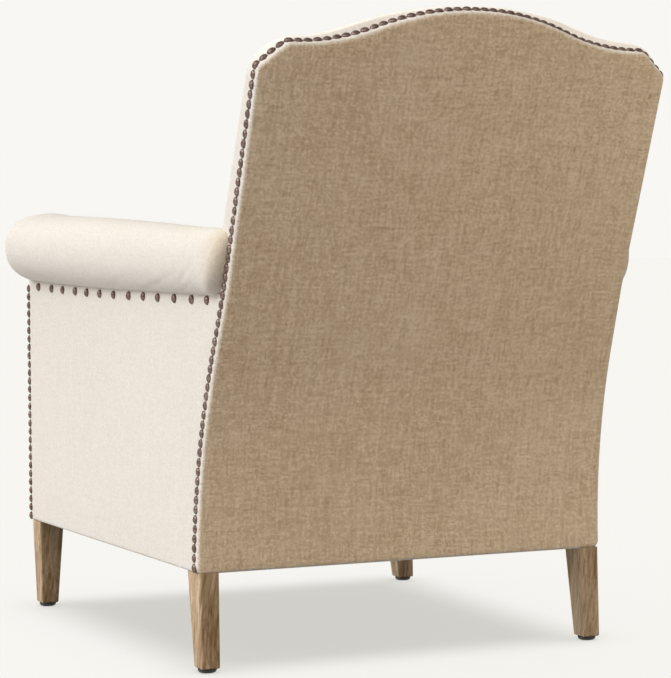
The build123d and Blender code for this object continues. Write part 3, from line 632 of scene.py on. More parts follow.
def makeFloor():
    # pale floor that shows the backdrop's colour where nothing shades it
    mesh = bpy.data.meshes.new("floor")
    corners = [(-1, -1), (1, -1), (1, 1), (-1, 1)]
    mesh.from_pydata([(studio["floorReach"] * x, studio["floorReach"] * y, 0) for x, y in corners], [], [(0, 1, 2, 3)])
    floor = placed("floor", mesh)
    material, tree, shader = newMaterial("floorPaper")
    tone, shown = studio["floorTone"], linear(*studio["backdrop"])
    lit = [tone * (studio["floorSky"] * c + studio["floorSun"]) for c in studio["skyColour"]]
    shader.inputs["Base Color"].default_value = (tone, tone, tone, 1)
    shader.inputs["Roughness"].default_value = 1.0
    shader.inputs["Specular IOR Level"].default_value = 0.0
    path = place(tree, "ShaderNodeLightPath")
    seen = math(tree, "MAXIMUM", path.outputs["Is Camera Ray"], path.outputs["Is Glossy Ray"])
    tree.links.new(seen, shader.inputs["Emission Strength"])
    shader.inputs["Emission Color"].default_value = (*[whole - part for whole, part in zip(shown, lit)], 1)
    mesh.materials.append(material)
    return floor


def makeSideFill():
    # soft lamp that lifts the far side of the back
    lamp = makeLamp("sideFill", "AREA", Vector(studio["fillPlace"]) - Vector(studio["fillAim"]), studio["fillPower"])
    lamp.location = studio["fillPlace"]
    lamp.data.size, lamp.data.color = studio["fillSize"], studio["shadeColour"]
    return lamp


def lightGroup(name, members, state="INCLUDE"):
    group = bpy.data.collections.new(name)
    for member in members:
        group.objects.link(member)
    for entry in group.collection_objects:
        entry.light_linking.link_state = state
    return group


def makeStudio():
    scene.view_settings.view_transform = "Standard"
    makeWorld()
    floor = makeFloor()
    key = makeSun("key", studio["sunTowards"], studio["sunStrength"], studio["sunSoftness"])
    top = makeSun("floorSun", (0, 0, 1), studio["floorSun"] * pi, studio["floorSoftness"])
    legs = [node for name, node in nodes.items() if name.endswith(("leg_left", "leg_right"))]
    # the key and the upper lamp light the chair alone, and the floor has a lamp of its own
    chair = lightGroup("keyReceivers", [floor], "EXCLUDE")
    key.light_linking.receiver_collection = chair
    high = makeSun("top", studio["topTowards"], studio["topStrength"], studio["topSoftness"])
    high.light_linking.receiver_collection = chair
    # a soft lamp over the crest, for the pale border alone, which joins the collection when it is made
    crest = makeSun("crestLight", studio["crestTowards"], studio["crestStrength"], studio["crestSoftness"])
    crest.light_linking.receiver_collection = lightGroup("crestReceivers", [])
    # light that a wide pale floor throws back from the lit side
    bounce = makeSun("bounce", studio["bounceTowards"], studio["bounceStrength"], studio["bounceSoftness"])
    bounce.light_linking.receiver_collection = chair
    bounce.light_linking.blocker_collection = lightGroup("bounceBlockers", [floor], "EXCLUDE")
    makeSideFill().light_linking.receiver_collection = lightGroup("fillReceivers", [floor, *legs], "EXCLUDE")
    # only the legs, the glides and the dust cover shade the floor
    under = [*legs, nodes["dust_cover"], nodes["leg_glides"]]
    top.light_linking.receiver_collection = lightGroup("floorReceivers", [floor])
    top.light_linking.blocker_collection = lightGroup("floorBlockers", under)


makeStudio()
print("camera and studio made")


# Outside back: one stretched cloth, turned over its edge to under the nail heads
def onBack(points, down):
    return backPoint(points[..., 0], points[..., 1], down)


def makeOutsideBack():
    back = dict(
        step=0.009, edge=0.0052, soft=0.022, wrap=0.0148, proud=0.001, thickness=0.0025, ripple=0.00035,
        pillow=0.0018, fade=0.0042,
    )
    inner = back["soft"] - back["proud"]
    flat, across, upward = camelPatch(inner, inner, back["step"], padSteps)
    x, run = flat[..., 0], flat[..., 1]
    ripple = np.sin(x * 31 + run * 12 + 0.7) * np.sin(run * 23 - x * 9 + 1.9)
    middle = np.minimum(across, 1 - across)[None] * 2
    swell = np.minimum(middle * 2.4, 1) * np.minimum(np.minimum(upward, 1 - upward)[:, None] * 5, 1)
    depth = back["ripple"] * ripple * swell
    rims = []
    # from the edge, closer together where it rounds off
    distances = [0.019, 0.0165, 0.014, 0.0115, 0.009, 0.0072, 0.0058, 0.0045, 0.0034, 0.0024, 0.0016, 0.0009, 0.0004, 0]
    for distance in distances:
        inset = distance - back["proud"]
        loop = camelLoop(inset, inset, across, upward)
        fall = roundOff(distance, back["edge"]) + back["pillow"] * (1 - min(distance / back["soft"], 1)) ** 2
        rims.append((loop, np.full(len(loop), fall), loop))
    edge = back["edge"] + back["pillow"]
    for down in np.linspace(edge, back["wrap"], 5)[1:]:
        out = outwardOf(loop) * (down - edge)
        rims.append((loop, np.full(len(loop), down), loop + out))
    panel = rimmedPanel("outsideBackLinen", flat, depth, onBack, rims)
    ringLength = len(rims[0][0])
    # pale linen within the fade of the edge, painted warm shade on the rest of the back
    turned = np.clip((back["fade"] - np.array(distances + [0.0] * 4)) / back["fade"], 0, 1)
    markUnshaded(panel, np.concatenate([np.zeros(flat.shape[0] * flat.shape[1]), np.repeat(turned, ringLength)]))
    faceAway(panel, (0, 1, 0))
    thicken(panel, back["thickness"])
    return finishPiece(panel, paintedShadeBackLinen, ["outside_back"])


makeOutsideBack()
print("outside back made")


# Border band round the sides and over the crest, rolled over towards the front
def makeBackBorder():
    band = dict(
        columns=420, start=0.0125, rollAtArm=0.047, rollAtShoulder=0.035, rollOnTop=0.022,
        rollRadius=0.034, riseStart=0.0135, riseRun=0.012, crownHump=0.0035, crownHollow=0.0130, hollowWidth=0.052,
        crownLedge=0.0055, farLedge=0.0045, thickness=0.003, pucker=0.0005, curl=0.010, cornerSoft=0.052,
        clothLength=1.6,
    )
    shares = np.linspace(0, 1, band["columns"])
    turn = np.linspace(0, pi / 2, 14)
    foot = sideTopRun - 0.006

    def wholeLine(inset, cornerSoft=body["cutSoft"]):
        half, _ = camelHalf(inset, foot, cornerSoft)
        return resample(np.concatenate([half, half[-2::-1] * np.array([-1, 1])]), shares)

    base = wholeLine(0.0)
    rounded = wholeLine(0.0, band["cornerSoft"])
    x, run = np.abs(base[:, 0]), base[:, 1]
    climb = np.clip((run - foot) / (cornerRun - foot), 0, 1)
    away = outwardOf(rounded)
    away[0], away[-1] = away[1], away[-2]
    onTop = np.clip((away[:, 1] - 0.3) / 0.6, 0, 1)
    rollStart = between(between(band["rollAtArm"], band["rollAtShoulder"], climb), band["rollOnTop"], onTop)
    hollowX = shoulderRun - dipRadius * sin(crestTurn) * 0.85
    inward = np.clip((hollowX - x) / hollowX, 0, 1)
    ledge = band["crownLedge"] + band["farLedge"] * (base[:, 0] < 0)
    crown = between(ledge, band["crownHump"], inward)
    crown = between(crown, band["crownHollow"], np.exp(-(((x - hollowX) / band["hollowWidth"]) ** 2))) * onTop
    rows, maps = [], []

    def addRow(line, down, along):
        rows.append(backPoint(line[:, 0], line[:, 1], down))
        maps.append(np.stack([shares * band["clothLength"], along], axis=1))

    for share in np.linspace(0, 1, 9)[:-1]:
        down = between(band["start"], rollStart, share)
        rise = eased(np.clip((down - band["riseStart"]) / band["riseRun"], 0, 1))
        pull = band["pucker"] * np.sin(run * 95) * share * np.clip((0.25 - climb) / 0.25, 0, 1)
        line = between(base, rounded, rise[:, None]) + away * (crown * rise + pull)[:, None]
        addRow(line, down, down)
    full = crown * eased(np.clip((rollStart - band["riseStart"]) / band["riseRun"], 0, 1))
    for angle in turn:
        down = rollStart + band["rollRadius"] * sin(angle)
        line = wholeLine(band["rollRadius"] * (1 - cos(angle)), band["cornerSoft"])
        line = line + away * between(crown, full, cos(angle))[:, None]
        addRow(line, down, rollStart + band["rollRadius"] * angle)
    # and curls in behind the edge of the inside back
    for angle in np.linspace(0.3, pi / 2, 6):
        inset = band["rollRadius"] + band["curl"] * sin(angle)
        line = wholeLine(inset, band["cornerSoft"]) + away * (crown * (1 - sin(angle)))[:, None]
        down = rollStart + band["rollRadius"] - 1.6 * band["curl"] * (1 - cos(angle))
        addRow(line, down, rollStart + band["rollRadius"] * pi / 2 + band["curl"] * angle)
    piece = sheetPiece("backBorderLinen", rows, maps, (0, -0.2, 1), band["thickness"])
    return finishPiece(piece, linen, ["back_border"])


bpy.data.collections["crestReceivers"].objects.link(makeBackBorder())


def padY(z):
    low, high = rearY(body["deckTop"], body["seatDepth"]), rearY(body["crest"], body["crestDepth"])
    return low + (high - low) * (z - body["deckTop"]) / (body["crest"] - body["deckTop"])


# Inside back: a crowned pad within the border
def makeInsideBack():
    pad = dict(
        step=0.014, inset=0.033, edge=0.015, crown=0.007, floorDepth=0.040, cornerSoft=0.066, thickness=0.004,
    )
    lowRun = body["deckTop"] - body["bottom"] + 0.004
    patchInset = pad["inset"] + pad["edge"]
    flat, across, upward = camelPatch(patchInset, lowRun + 0.002, pad["step"], padSteps, pad["cornerSoft"])

    def frontDepth(run):
        # where the straight lean of the inside back crosses the normal at a run
        spot = backPoint(0, run, 0)
        turn = np.clip((run - uprightRun) / body["bendRadius"], 0, rake)
        slope = padY(1.0) - padY(0.0)
        return (spot[..., 1] - padY(spot[..., 2])) / (np.cos(turn) + slope * np.sin(turn))

    middle = np.minimum(across, 1 - across)[None] * 2
    swell = np.sin(np.minimum(middle * 1.5, 1) * pi / 2) * np.sin(np.minimum((1 - upward)[:, None] * 4, 1) * pi / 2)
    depth = frontDepth(flat[..., 1]) - pad["crown"] * (1 - swell)
    rims = []
    for share in (0.75, 0.52, 0.34, 0.2, 0.1, 0.04, 0.0):
        inset = pad["inset"] + pad["edge"] * share
        loop = camelLoop(inset, lowRun + 0.002 * share, across, upward, pad["cornerSoft"])
        top = frontDepth(loop[:, 1]) - pad["crown"]
        rims.append((loop, top - roundOff(pad["edge"] * share, pad["edge"]), loop))
    down = rims[-1][1]
    for share in (0.5, 1.0):
        deep = down + (pad["floorDepth"] - down) * share
        rims.append((loop, deep, loop + outwardOf(loop) * (down - deep)[:, None]))
    piece = rimmedPanel("insideBackLinen", flat, depth, onBack, rims)
    faceAway(piece, (0, -1, 0))
    thicken(piece, pad["thickness"])
    return finishPiece(piece, linen, ["inside_back"])


makeInsideBack()
print("inside back and border made")


# Outside arm: cloth round the front corner, along the side to the back, turned under the rail.
# armPlaces are distances from the front, worked out from the photograph with the fitted camera
nailPlan = dict(
    radius=0.0067, height=0.0042, pitch=0.0136, setback=0.015, firstHeight=0.147, armDrop=0.0070,
    armPlaces=(0.053, 0.116, 0.167, 0.225, 0.276, 0.332, 0.390, 0.453, 0.510, 0.566, 0.628, 0.691, 0.744),
    cornerDrop=0.0045, cornerRadius=0.0070, cornerPitch=0.0139, cornerTurn=radians(27),
)


def armNailPlaces():
    y = body["frontFace"] + np.array(nailPlan["armPlaces"])
    return y, seamZ(y) - nailPlan["armDrop"]


def makeOutsideArm():
    panel = dict(
        corner=0.0070, bulge=0.0012, dimple=0.0007, dimpleWidth=0.010, thickness=0.0025, turnUnder=0.012, edge=0.004,
        sink=0.0016, sinkWidth=0.009, cornerRise=0.009,
    )
    z = np.concatenate([
        np.full(4, body["bottom"]), body["bottom"] + panel["edge"] * (1 - np.cos(np.linspace(0.2, pi / 2, 6))),
        np.linspace(body["bottom"] + 0.010, body["sideTop"] + 0.003, 56),
    ])
    draw = np.concatenate([
        panel["edge"] + panel["turnUnder"] * np.array([1, 0.66, 0.33, 0.0]),
        panel["edge"] * (1 - np.sin(np.linspace(0.2, pi / 2, 6))), np.zeros(56),
    ])
    radius = panel["corner"]
    front = body["frontFace"]
    turn = np.linspace(0, pi / 2, 8)
    lead = np.linspace(0.012, radius, 3)[:-1]
    along = np.linspace(0, 1, 110)[1:]
    rows, maps = [], []
    for height, drawn in zip(z, draw):
        half = float(sideX(front, height, 0))
        xLead = half - lead
        yLead = np.full(len(lead), front)
        xTurn = half - radius + radius * np.sin(turn)
        yTurn = front + radius - radius * np.cos(turn)
        y = front + radius + along * (rearY(height, 0.008) - front - radius)
        x = sideX(y, height, 0)
        xs, ys = np.concatenate([xLead, xTurn, x]), np.concatenate([yLead, yTurn, y])
        out = np.concatenate([np.zeros(len(lead)), np.sin(turn), np.ones(len(x))])
        bow = np.clip((ys - front) / 0.05, 0, 1) * np.clip((rearY(height, 0) - ys) / 0.06, 0, 1)
        bow = bow * np.clip((height - body["bottom"]) / 0.05, 0, 1) * np.clip((body["sideTop"] - height) / 0.05, 0, 1)
        xs = xs + out * (panel["bulge"] * bow - drawn)
        ys = ys + (1 - out) * drawn
        rows.append(np.stack([xs, ys, np.full(len(xs), height)], axis=1))
        run = lengthsOf(np.stack([xs, ys], axis=1))
        maps.append(np.stack([run, np.full(len(xs), height - drawn)], axis=1))
    grid = np.stack(rows)
    climb = np.clip((grid[..., 2] - body["sideTop"] + 0.05) / 0.05, 0, 1)
    grid[..., 2] += climb * (seamZ(grid[..., 1]) - body["sideTop"])
    grid[..., 2] += climb**2 * panel["cornerRise"] * np.clip(1 - (grid[..., 1] - front) / 0.03, 0, 1)
    nailY, nailZ = armNailPlaces()
    rearLine = rearY(grid[..., 2], nailPlan["setback"] + 0.002)
    pull = panel["sink"] * np.exp(-(((grid[..., 1] - rearLine) / panel["sinkWidth"]) ** 2))
    for y, height in zip(nailY, nailZ):
        near = ((grid[..., 1] - y) ** 2 + (grid[..., 2] - height) ** 2) / panel["dimpleWidth"] ** 2
        pull += panel["dimple"] * np.exp(-near)
    grid[..., 0] -= pull
    piece = sheetPiece("outsideArmLeft", grid, maps, (1, 0, 0), panel["thickness"])
    finishPair(piece, "outsideArm", linen, "outside_arm")


makeOutsideArm()
print("outside arms made")


# Arm roll: a stuffed oval with a domed front, a round leaning rear end, and creases where the cloth is pulled
# paleTo and paleFade: where the painted warm shade of the rear end gives way to the pale linen
roll = dict(
    frontY=-0.4375, rearY=0.318, frontX=0.318, rearX=0.305, outerFront=0.068, outerRear=0.034,
    innerFront=0.068, innerRear=0.070, highFront=0.058, highRear=0.0455, brow=0.0030, browY=-0.415, browWidth=0.035,
    frontDome=0.055, domePower=0.86, rearDome=0.026, tip=0.03, tuck=0.008, tuckStart=0.20, flare=0.15, paleTo=0.338,
    paleFade=0.036, rise=0.0014, riseReach=1.15, fullness=2.2, rearFullness=2.0, lean=0.38, leanStart=0.20,
    clearance=0.0003, frontLift=0.002, around=120, along=150, mapTurn=0.06,
)
# each crease: y, turn round the roll in degrees, slant, length, width, depth
rollCreases = [
    (-0.16, -52, 0.22, 0.050, 0.0050, 0.0005), (0.00, -45, 0.30, 0.060, 0.0060, 0.0006),
    (0.10, -56, 0.26, 0.050, 0.0050, 0.0006), (0.17, -38, 0.34, 0.060, 0.0065, 0.0007),
    (0.235, -55, 0.45, 0.040, 0.0050, 0.0008), (0.262, -20, 0.8, 0.040, 0.0060, 0.0008),
    (0.275, 28, -0.9, 0.035, 0.0060, 0.0009), (0.25, 60, -0.5, 0.045, 0.0070, 0.0007),
    (-0.34, -46, -0.30, 0.040, 0.0060, 0.0005), (0.10, 18, 0.25, 0.080, 0.0120, 0.0006),
    (-0.12, 30, -0.25, 0.080, 0.0140, 0.0005),
]


def creaseDepth(y, turn):
    # how far the cloth is drawn in along its creases
    drawn = np.zeros(len(turn))
    for atY, atTurn, slant, length, width, depth in rollCreases:
        around = (turn - radians(atTurn) + pi) % (2 * pi) - pi
        across = (around * roll["mapTurn"] - slant * (y - atY)) / sqrt(1 + slant**2)
        along = (y - atY + slant * around * roll["mapTurn"]) / sqrt(1 + slant**2)
        drawn += depth * (np.exp(-((across / width) ** 2)) - 0.5 * np.exp(-(((across - 2 * width) / width) ** 2))) \
            * np.exp(-((along / length) ** 2))
    return drawn


def makeArmRoll():
    turn = np.linspace(0, 2 * pi, roll["around"], endpoint=False)
    domeTurns = np.linspace(pi / 2, 0, 18)[:-1]
    stations = []
    for angle in domeTurns:
        shrink = max(cos(angle), 0.0) ** roll["domePower"]
        stations.append((roll["frontY"] - roll["frontDome"] * sin(angle), shrink, 0.0))
    for share in np.linspace(0, 1, roll["along"]):
        stations.append((between(roll["frontY"], roll["rearY"], share), 1.0, share))
    for angle in domeTurns[::-1]:
        shrink = (1 - sin(angle) ** roll["rearFullness"]) ** (1 / roll["rearFullness"])
        stations.append((roll["rearY"] + roll["rearDome"] * sin(angle), shrink, 1.0))
    power = 2 / roll["fullness"]
    ringX = np.sign(np.cos(turn)) * np.abs(np.cos(turn)) ** power
    ringZ = np.sign(np.sin(turn)) * np.abs(np.sin(turn)) ** power
    rows, maps = [], []
    for y, shrink, share in stations:
        shrink = max(shrink, roll["tip"])
        cx = between(roll["frontX"], roll["rearX"], share)
        high = between(roll["highFront"], roll["highRear"], share)
        outer = between(roll["outerFront"], roll["outerRear"], share)
        inner = between(roll["innerFront"], roll["innerRear"], share)
        tuck = np.clip((y - roll["tuckStart"]) / (roll["rearY"] - roll["tuckStart"]), 0, 1)
        outer = outer - roll["tuck"] * tuck**2
        wide = np.where(ringX > 0, outer, inner)
        bow = roll["rise"] * sin(pi * min(share * roll["riseReach"], 1.0))
        lift = float(seamZ(y)) - body["sideTop"]
        above = high + bow - lift / 2
        above += roll["brow"] * exp(-(((y - roll["browY"]) / roll["browWidth"]) ** 2)) / 2
        cz = body["sideTop"] + roll["clearance"] + lift + above
        cz += roll["frontLift"] * (1 - shrink) * (y < roll["frontY"])
        full = 1 - creaseDepth(y, turn) / above * shrink
        x = cx + ringX * wide * shrink * full
        z = cz + ringZ * above * shrink * full
        x = x - roll["flare"] * tuck**2 * (z - cz) * (ringX > 0)
        lean = roll["lean"] * np.clip((y - roll["leanStart"]) / (roll["rearY"] - roll["leanStart"]), 0, 1) ** 2
        rows.append(np.stack([x, y + lean * (z - cz), z], axis=1))
        maps.append(np.stack([np.full(len(turn), y), turn * roll["mapTurn"]], axis=1))
    grid = np.stack(rows)
    faces = [tuple(face) for face in gridFaces(*grid.shape[:2], around=True)]
    last = (grid.shape[0] - 1) * grid.shape[1]
    faces.append(tuple(range(roll["around"]))[::-1])
    faces.append(tuple(range(last, last + roll["around"])))
    piece = meshObject("armRollLeft", grid.reshape(-1, 3), faces, np.concatenate(maps))
    seamless(piece)
    outwards(piece)
    # the rear end is tinted, in place of the warm shade in the photograph
    markUnshaded(piece, np.clip((roll["paleTo"] - grid.reshape(-1, 3)[:, 1]) / roll["paleFade"], 0, 1))
    finishPair(piece, "armRoll", paintedShadeRollLinen, "arm_pad")


def seamless(piece):
    # the last column of faces around the roll reads its cloth one full turn on
    mesh = piece.data
    layer = mesh.uv_layers["cloth"]
    count = roll["around"]
    for face in mesh.polygons:
        columns = [mesh.loops[i].vertex_index % count for i in face.loop_indices]
        if max(columns) - min(columns) > count / 2 and len(columns) == 4:
            for i, column in zip(face.loop_indices, columns):
                if column == 0:
                    u, v = layer.data[i].uv
                    layer.data[i].uv = (u, v + 2 * pi * roll["mapTurn"])


def outwards(piece):
    work = bmesh.new()
    work.from_mesh(piece.data)
    bmesh.ops.recalc_face_normals(work, faces=work.faces)
    work.to_mesh(piece.data)
    work.free()


makeArmRoll()


# Inside arm: the padded face between the roll and the deck
def makeInsideArm():
    pad = dict(
        rows=30, columns=60, low=0.2645, high=0.590, bulge=0.004, bulgeRun=0.05, thickness=0.020, frontGap=0.0125,
        behind=0.030, leastLevel=0.30, flareFrom=0.560, flare=0.9,
    )
    z = np.linspace(pad["low"], pad["high"], pad["rows"])
    rows, maps = [], []
    for height in z:
        rear = float(padY(max(height, pad["leastLevel"]))) + pad["behind"]
        y = np.linspace(body["frontFace"] + pad["frontGap"], rear, pad["columns"])
        x = sideX(y, body["sideTop"], body["armThickness"])
        share = (height - pad["low"]) / (pad["high"] - pad["low"])
        x = x - pad["bulge"] * sin(pi * share) * np.clip((y - body["frontFace"]) / pad["bulgeRun"], 0, 1)
        x = x + max(height - pad["flareFrom"], 0) * pad["flare"]
        rows.append(np.stack([x, y, np.full(len(y), height)], axis=1))
        maps.append(np.stack([y, np.full(len(y), height)], axis=1))
    piece = sheetPiece("insideArmLeft", rows, maps, (-1, 0, 0), pad["thickness"])
    finishPair(piece, "insideArm", linen, "arm_pad")


makeInsideArm()


# Front facing of the arm, with a soft inner edge
def makeArmFront():
    facing = dict(
        edge=0.009, thickness=0.003, bulge=0.002, step=0.006, deep=0.0117, domeHalf=0.0561, domeCentre=0.593,
        domeDrop=0.046, domeReach=0.985, topRise=0.010, sideGap=0.0126,
    )
    low, high = body["bottom"], body["sideTop"] + facing["topRise"]
    outer = float(sideX(body["frontFace"], body["sideTop"], facing["sideGap"]))
    inner = float(sideX(body["frontFace"], body["sideTop"], body["armThickness"]))
    across = spacing(outer - inner, facing["step"], edgeSteps)
    upward = spacing(high - low, facing["step"], edgeSteps)
    flat = np.stack(np.meshgrid(inner + across * (outer - inner), low + upward * (high - low)), axis=-1)
    # its top follows the underside of the dome
    off = np.abs(flat[..., 0] - roll["frontX"]) / facing["domeHalf"]
    off = np.clip(off, 0, facing["domeReach"]) ** roll["fullness"]
    under = facing["domeCentre"] - facing["domeDrop"] * (1 - off) ** (1 / roll["fullness"])
    flat[..., 1] = low + (flat[..., 1] - low) * (under - low) / (high - low)
    distance = np.minimum(flat[..., 0] - inner, flat[..., 1] - low)
    swell = np.sin(pi * across)[None, :] * np.sin(pi * upward)[:, None]
    depth = roundOff(distance, facing["edge"]) - facing["bulge"] * swell

    def onFront(points, down):
        return np.stack(np.broadcast_arrays(points[..., 0], body["frontFace"] + down, points[..., 1]), axis=-1)

    loop = flat.reshape(-1, 2)[boundaryLoop(*flat.shape[:2])]
    edgeDepth = depth.reshape(-1)[boundaryLoop(*flat.shape[:2])]
    rims = [(loop, edgeDepth + (facing["deep"] - edgeDepth) * share, loop) for share in (0.5, 1.0)]
    piece = rimmedPanel("armFrontLeft", flat, depth, onFront, rims)
    faceAway(piece, (0, -1, 0))
    thicken(piece, facing["thickness"])
    finishPair(piece, "armFront", linen, "arm_front")


makeArmFront()


# Front border under the cushion, turned over the front rail
def makeFrontBorder():
    border = dict(edge=0.012, back=0.038, columns=90, bulge=0.002, thickness=0.004)
    half = float(sideX(body["frontFace"] + 0.04, body["sideTop"], body["armThickness"] + 0.0003))
    turn = np.linspace(0, pi / 2, 9)
    face = np.linspace(body["bottom"] + 0.004, body["deckTop"] - border["edge"], 26)[:-1]
    over = np.linspace(border["edge"], border["back"], 6)[1:]
    z = np.concatenate([
        np.full(3, body["bottom"]), face, body["deckTop"] - border["edge"] + border["edge"] * np.sin(turn),
        np.full(5, body["deckTop"]),
    ])
    y = np.concatenate([
        [0.012, 0.008, 0.003], np.zeros(len(face)), border["edge"] * (1 - np.cos(turn)), over,
    ])
    swell = np.clip((z - body["bottom"]) / 0.04, 0, 1) * np.clip((body["deckTop"] - z) / 0.05, 0, 1)
    x = np.linspace(-half, half, border["columns"])
    run = lengthsOf(np.stack([y, z], axis=1))
    xs = np.broadcast_to(x, (len(z), len(x)))
    ys = np.broadcast_to((body["frontFace"] + y - border["bulge"] * swell)[:, None], xs.shape)
    zs = np.broadcast_to(z[:, None], xs.shape)
    cloth = np.stack([xs, np.broadcast_to(run[:, None], xs.shape)], axis=-1)
    grid = np.stack([xs, ys, zs], axis=-1)
    piece = sheetPiece("frontBorderLinen", grid, cloth, (0, -1, 0.2), border["thickness"])
    return finishPiece(piece, linen, ["front_border"])


makeFrontBorder()


# Seat deck over the springs
def makeDeck():
    deck = dict(step=0.02, thickness=0.010, frontGap=0.041, behind=0.02, sideGap=0.0005, drop=0.0002, columns=40)
    rear = float(padY(body["deckTop"])) + deck["behind"]
    y = np.arange(body["frontFace"] + deck["frontGap"], rear, deck["step"])
    share = np.linspace(-1, 1, deck["columns"])
    half = sideX(y, body["sideTop"], body["armThickness"] + deck["sideGap"])
    xs = half[:, None] * share[None, :]
    ys = np.broadcast_to(y[:, None], xs.shape)
    zs = np.full(xs.shape, body["deckTop"] - deck["drop"])
    grid = np.stack([xs, ys, zs], axis=-1)
    piece = sheetPiece("seatDeckCloth", grid, grid[..., :2], (0, 0, 1), deck["thickness"])
    return finishPiece(piece, deckCotton, ["seat_deck"])


makeDeck()
print("arms, border and deck made")


# Loose seat cushion: boxed panels blown up with the seams held, then its welts
cushion = dict(
    front=-0.4680, backGap=0.010, sideGap=0.010, corner=0.034, low=0.3450, high=0.4580, lip=0.012, draw=0.006,
    crown=0.012, step=0.012, boxRows=9, pressure=3.5, frames=20, cap=0.024, weltRadius=0.0032, weltSides=10,
    seamGap=0.012, across=46, deep=60, squareness=7.0,
)


def cushionOutline():
    # y of the rear seam, and half widths at the front and rear seams
    rear = float(padY(cushion["high"])) - cushion["backGap"] - cushion["seamGap"]
    inset = body["armThickness"] + cushion["sideGap"]
    halfFront = float(sideX(cushion["front"], body["sideTop"], inset))
    halfRear = float(sideX(rear, body["sideTop"], inset))
    return rear, halfFront, halfRear


def makeCushion():
    rear, halfFront, halfRear = cushionOutline()
    nu, nv = cushion["across"], cushion["deep"]
    s, t = np.meshgrid(np.linspace(-1, 1, nu), np.linspace(-1, 1, nv))
    # round the square's corners: push the grid towards a superellipse
    power = cushion["squareness"]
    norm = (np.abs(s) ** power + np.abs(t) ** power) ** (1 / power)
    reach = np.maximum(np.abs(s), np.abs(t))
    factor = np.where(norm > 1e-9, reach / np.maximum(norm, 1e-9), 1.0)
    s, t = s * factor, t * factor
    y = (cushion["front"] + rear) / 2 + t * (rear - cushion["front"]) / 2
    half = halfFront + (halfRear - halfFront) * (t + 1) / 2
    drawX = cushion["draw"] * np.cos(t * pi / 2) ** 2
    drawY = cushion["draw"] * np.cos(s * pi / 2) ** 2 * np.sign(t)
    x = s * (half - drawX)
    y = y - drawY * np.abs(t) ** 3
    edge = 1 - np.maximum(np.abs(s), np.abs(t)) ** 2
    crown = cushion["crown"] * np.clip(edge * 1.5, 0, 1)
    top = np.stack([x, y, cushion["high"] + crown], axis=-1).reshape(-1, 3)
    bottom = np.stack([x, y, cushion["low"] - np.minimum(crown, cushion["lip"])], axis=-1).reshape(-1, 3)
    loop = boundaryLoop(nv, nu)
    count = len(top)
    vertices = [top, bottom]
    cloth = [top[:, :2], bottom[:, :2] + np.array([1.0, 0])]
    faces = [gridFaces(nv, nu), gridFaces(nv, nu, start=count)[:, ::-1]]
    ringLow = loop + count
    start = 2 * count
    lengths = lengthsRound(top[loop])
    rows = [ringLow]
    for step in range(1, cushion["boxRows"]):
        share = step / cushion["boxRows"]
        ring = bottom[loop] * (1 - share) + top[loop] * share
        vertices.append(ring)
        cloth.append(np.stack([lengths, np.full(len(loop), 2 + share * 0.11)], axis=1))
        rows.append(np.arange(start, start + len(loop)))
        start += len(loop)
    rows.append(loop)
    for lower, upper in zip(rows[:-1], rows[1:]):
        faces.append(np.stack([lower, np.roll(lower, -1), np.roll(upper, -1), upper], axis=1))
    piece = meshObject("seatCushionLinen", np.concatenate(vertices), np.concatenate(faces), np.concatenate(cloth))
    outwards(piece)
    seams = np.concatenate([loop, ringLow])
    inflate(piece, seams)
    smooth = piece.modifiers.new("smooth", "SUBSURF")
    smooth.levels = smooth.render_levels = 1
    applyModifiers(piece)
    finishPiece(piece, linen, ["seat_cushion"], "cushion")
    makeWelts(top[loop], bottom[loop])


def pointsOf(piece):
    points = np.zeros(len(piece.data.vertices) * 3)
    piece.data.vertices.foreach_get("co", points)
    return points.reshape(-1, 3)


def inflate(piece, seams):
    # blows the cover up with its seams held, then keeps it off the deck
    before = pointsOf(piece)
    held = piece.vertex_groups.new(name="seams")
    held.add([int(i) for i in seams], 1.0, "REPLACE")
    cloth = piece.modifiers.new("stuffing", "CLOTH")
    stuffing = dict(
        quality=6, mass=0.3, tension_stiffness=25, compression_stiffness=25, bending_stiffness=0.6,
        use_pressure=True, uniform_pressure_force=cushion["pressure"], vertex_group_mass="seams",
    )
    for key, value in stuffing.items():
        setattr(cloth.settings, key, value)
    cloth.settings.effector_weights.gravity = 0
    cloth.collision_settings.use_collision = False
    for step in range(1, cushion["frames"] + 1):
        scene.frame_set(step)
    applyModifiers(piece)
    move = pointsOf(piece) - before
    length = np.linalg.norm(move, axis=1, keepdims=True)
    move *= np.minimum(cushion["cap"] / np.maximum(length, 1e-9), 1)
    move[:, 2] = np.where(before[:, 2] < cushion["low"] + 0.001, np.maximum(move[:, 2], -0.002), move[:, 2])
    after = before + move
    after[:, 2] = np.maximum(after[:, 2], body["deckTop"] + 0.0008)
    piece.data.vertices.foreach_set("co", after.ravel())
    piece.data.update()
    piece.vertex_groups.clear()
    scene.frame_set(1)


def makeWelts(upper, lower):
    vertices, faces, cloth = [], [], []
    sides = cushion["weltSides"]
    turn = np.linspace(0, 2 * pi, sides, endpoint=False)
    for seam in (upper, lower):
        along = np.roll(seam, -1, axis=0) - np.roll(seam, 1, axis=0)
        along /= np.linalg.norm(along, axis=1, keepdims=True)
        out = np.cross(along, np.array([0, 0, 1.0]))
        centre = seam + out * 0.002
        radius = cushion["weltRadius"]
        ring = centre[:, None] + radius * (
            np.cos(turn)[None, :, None] * out[:, None] + np.sin(turn)[None, :, None] * np.array([0, 0, 1.0])
        )
        start = sum(len(part) for part in vertices)
        vertices.append(ring.reshape(-1, 3))
        run = lengthsRound(seam)
        cloth.append(np.stack([
            (run[:, None] + turn[None] * 0.003).ravel(), (run[:, None] * 0.7 + turn[None] * 0.004).ravel()
        ], axis=1))
        faces.append(gridFaces(len(seam), sides, around=True, closed=True, start=start))
    piece = meshObject("cushionWeltCord", np.concatenate(vertices), np.concatenate(faces), np.concatenate(cloth))
    outwards(piece)
    return finishPiece(piece, linen, ["cushion_welts"], "cushion")


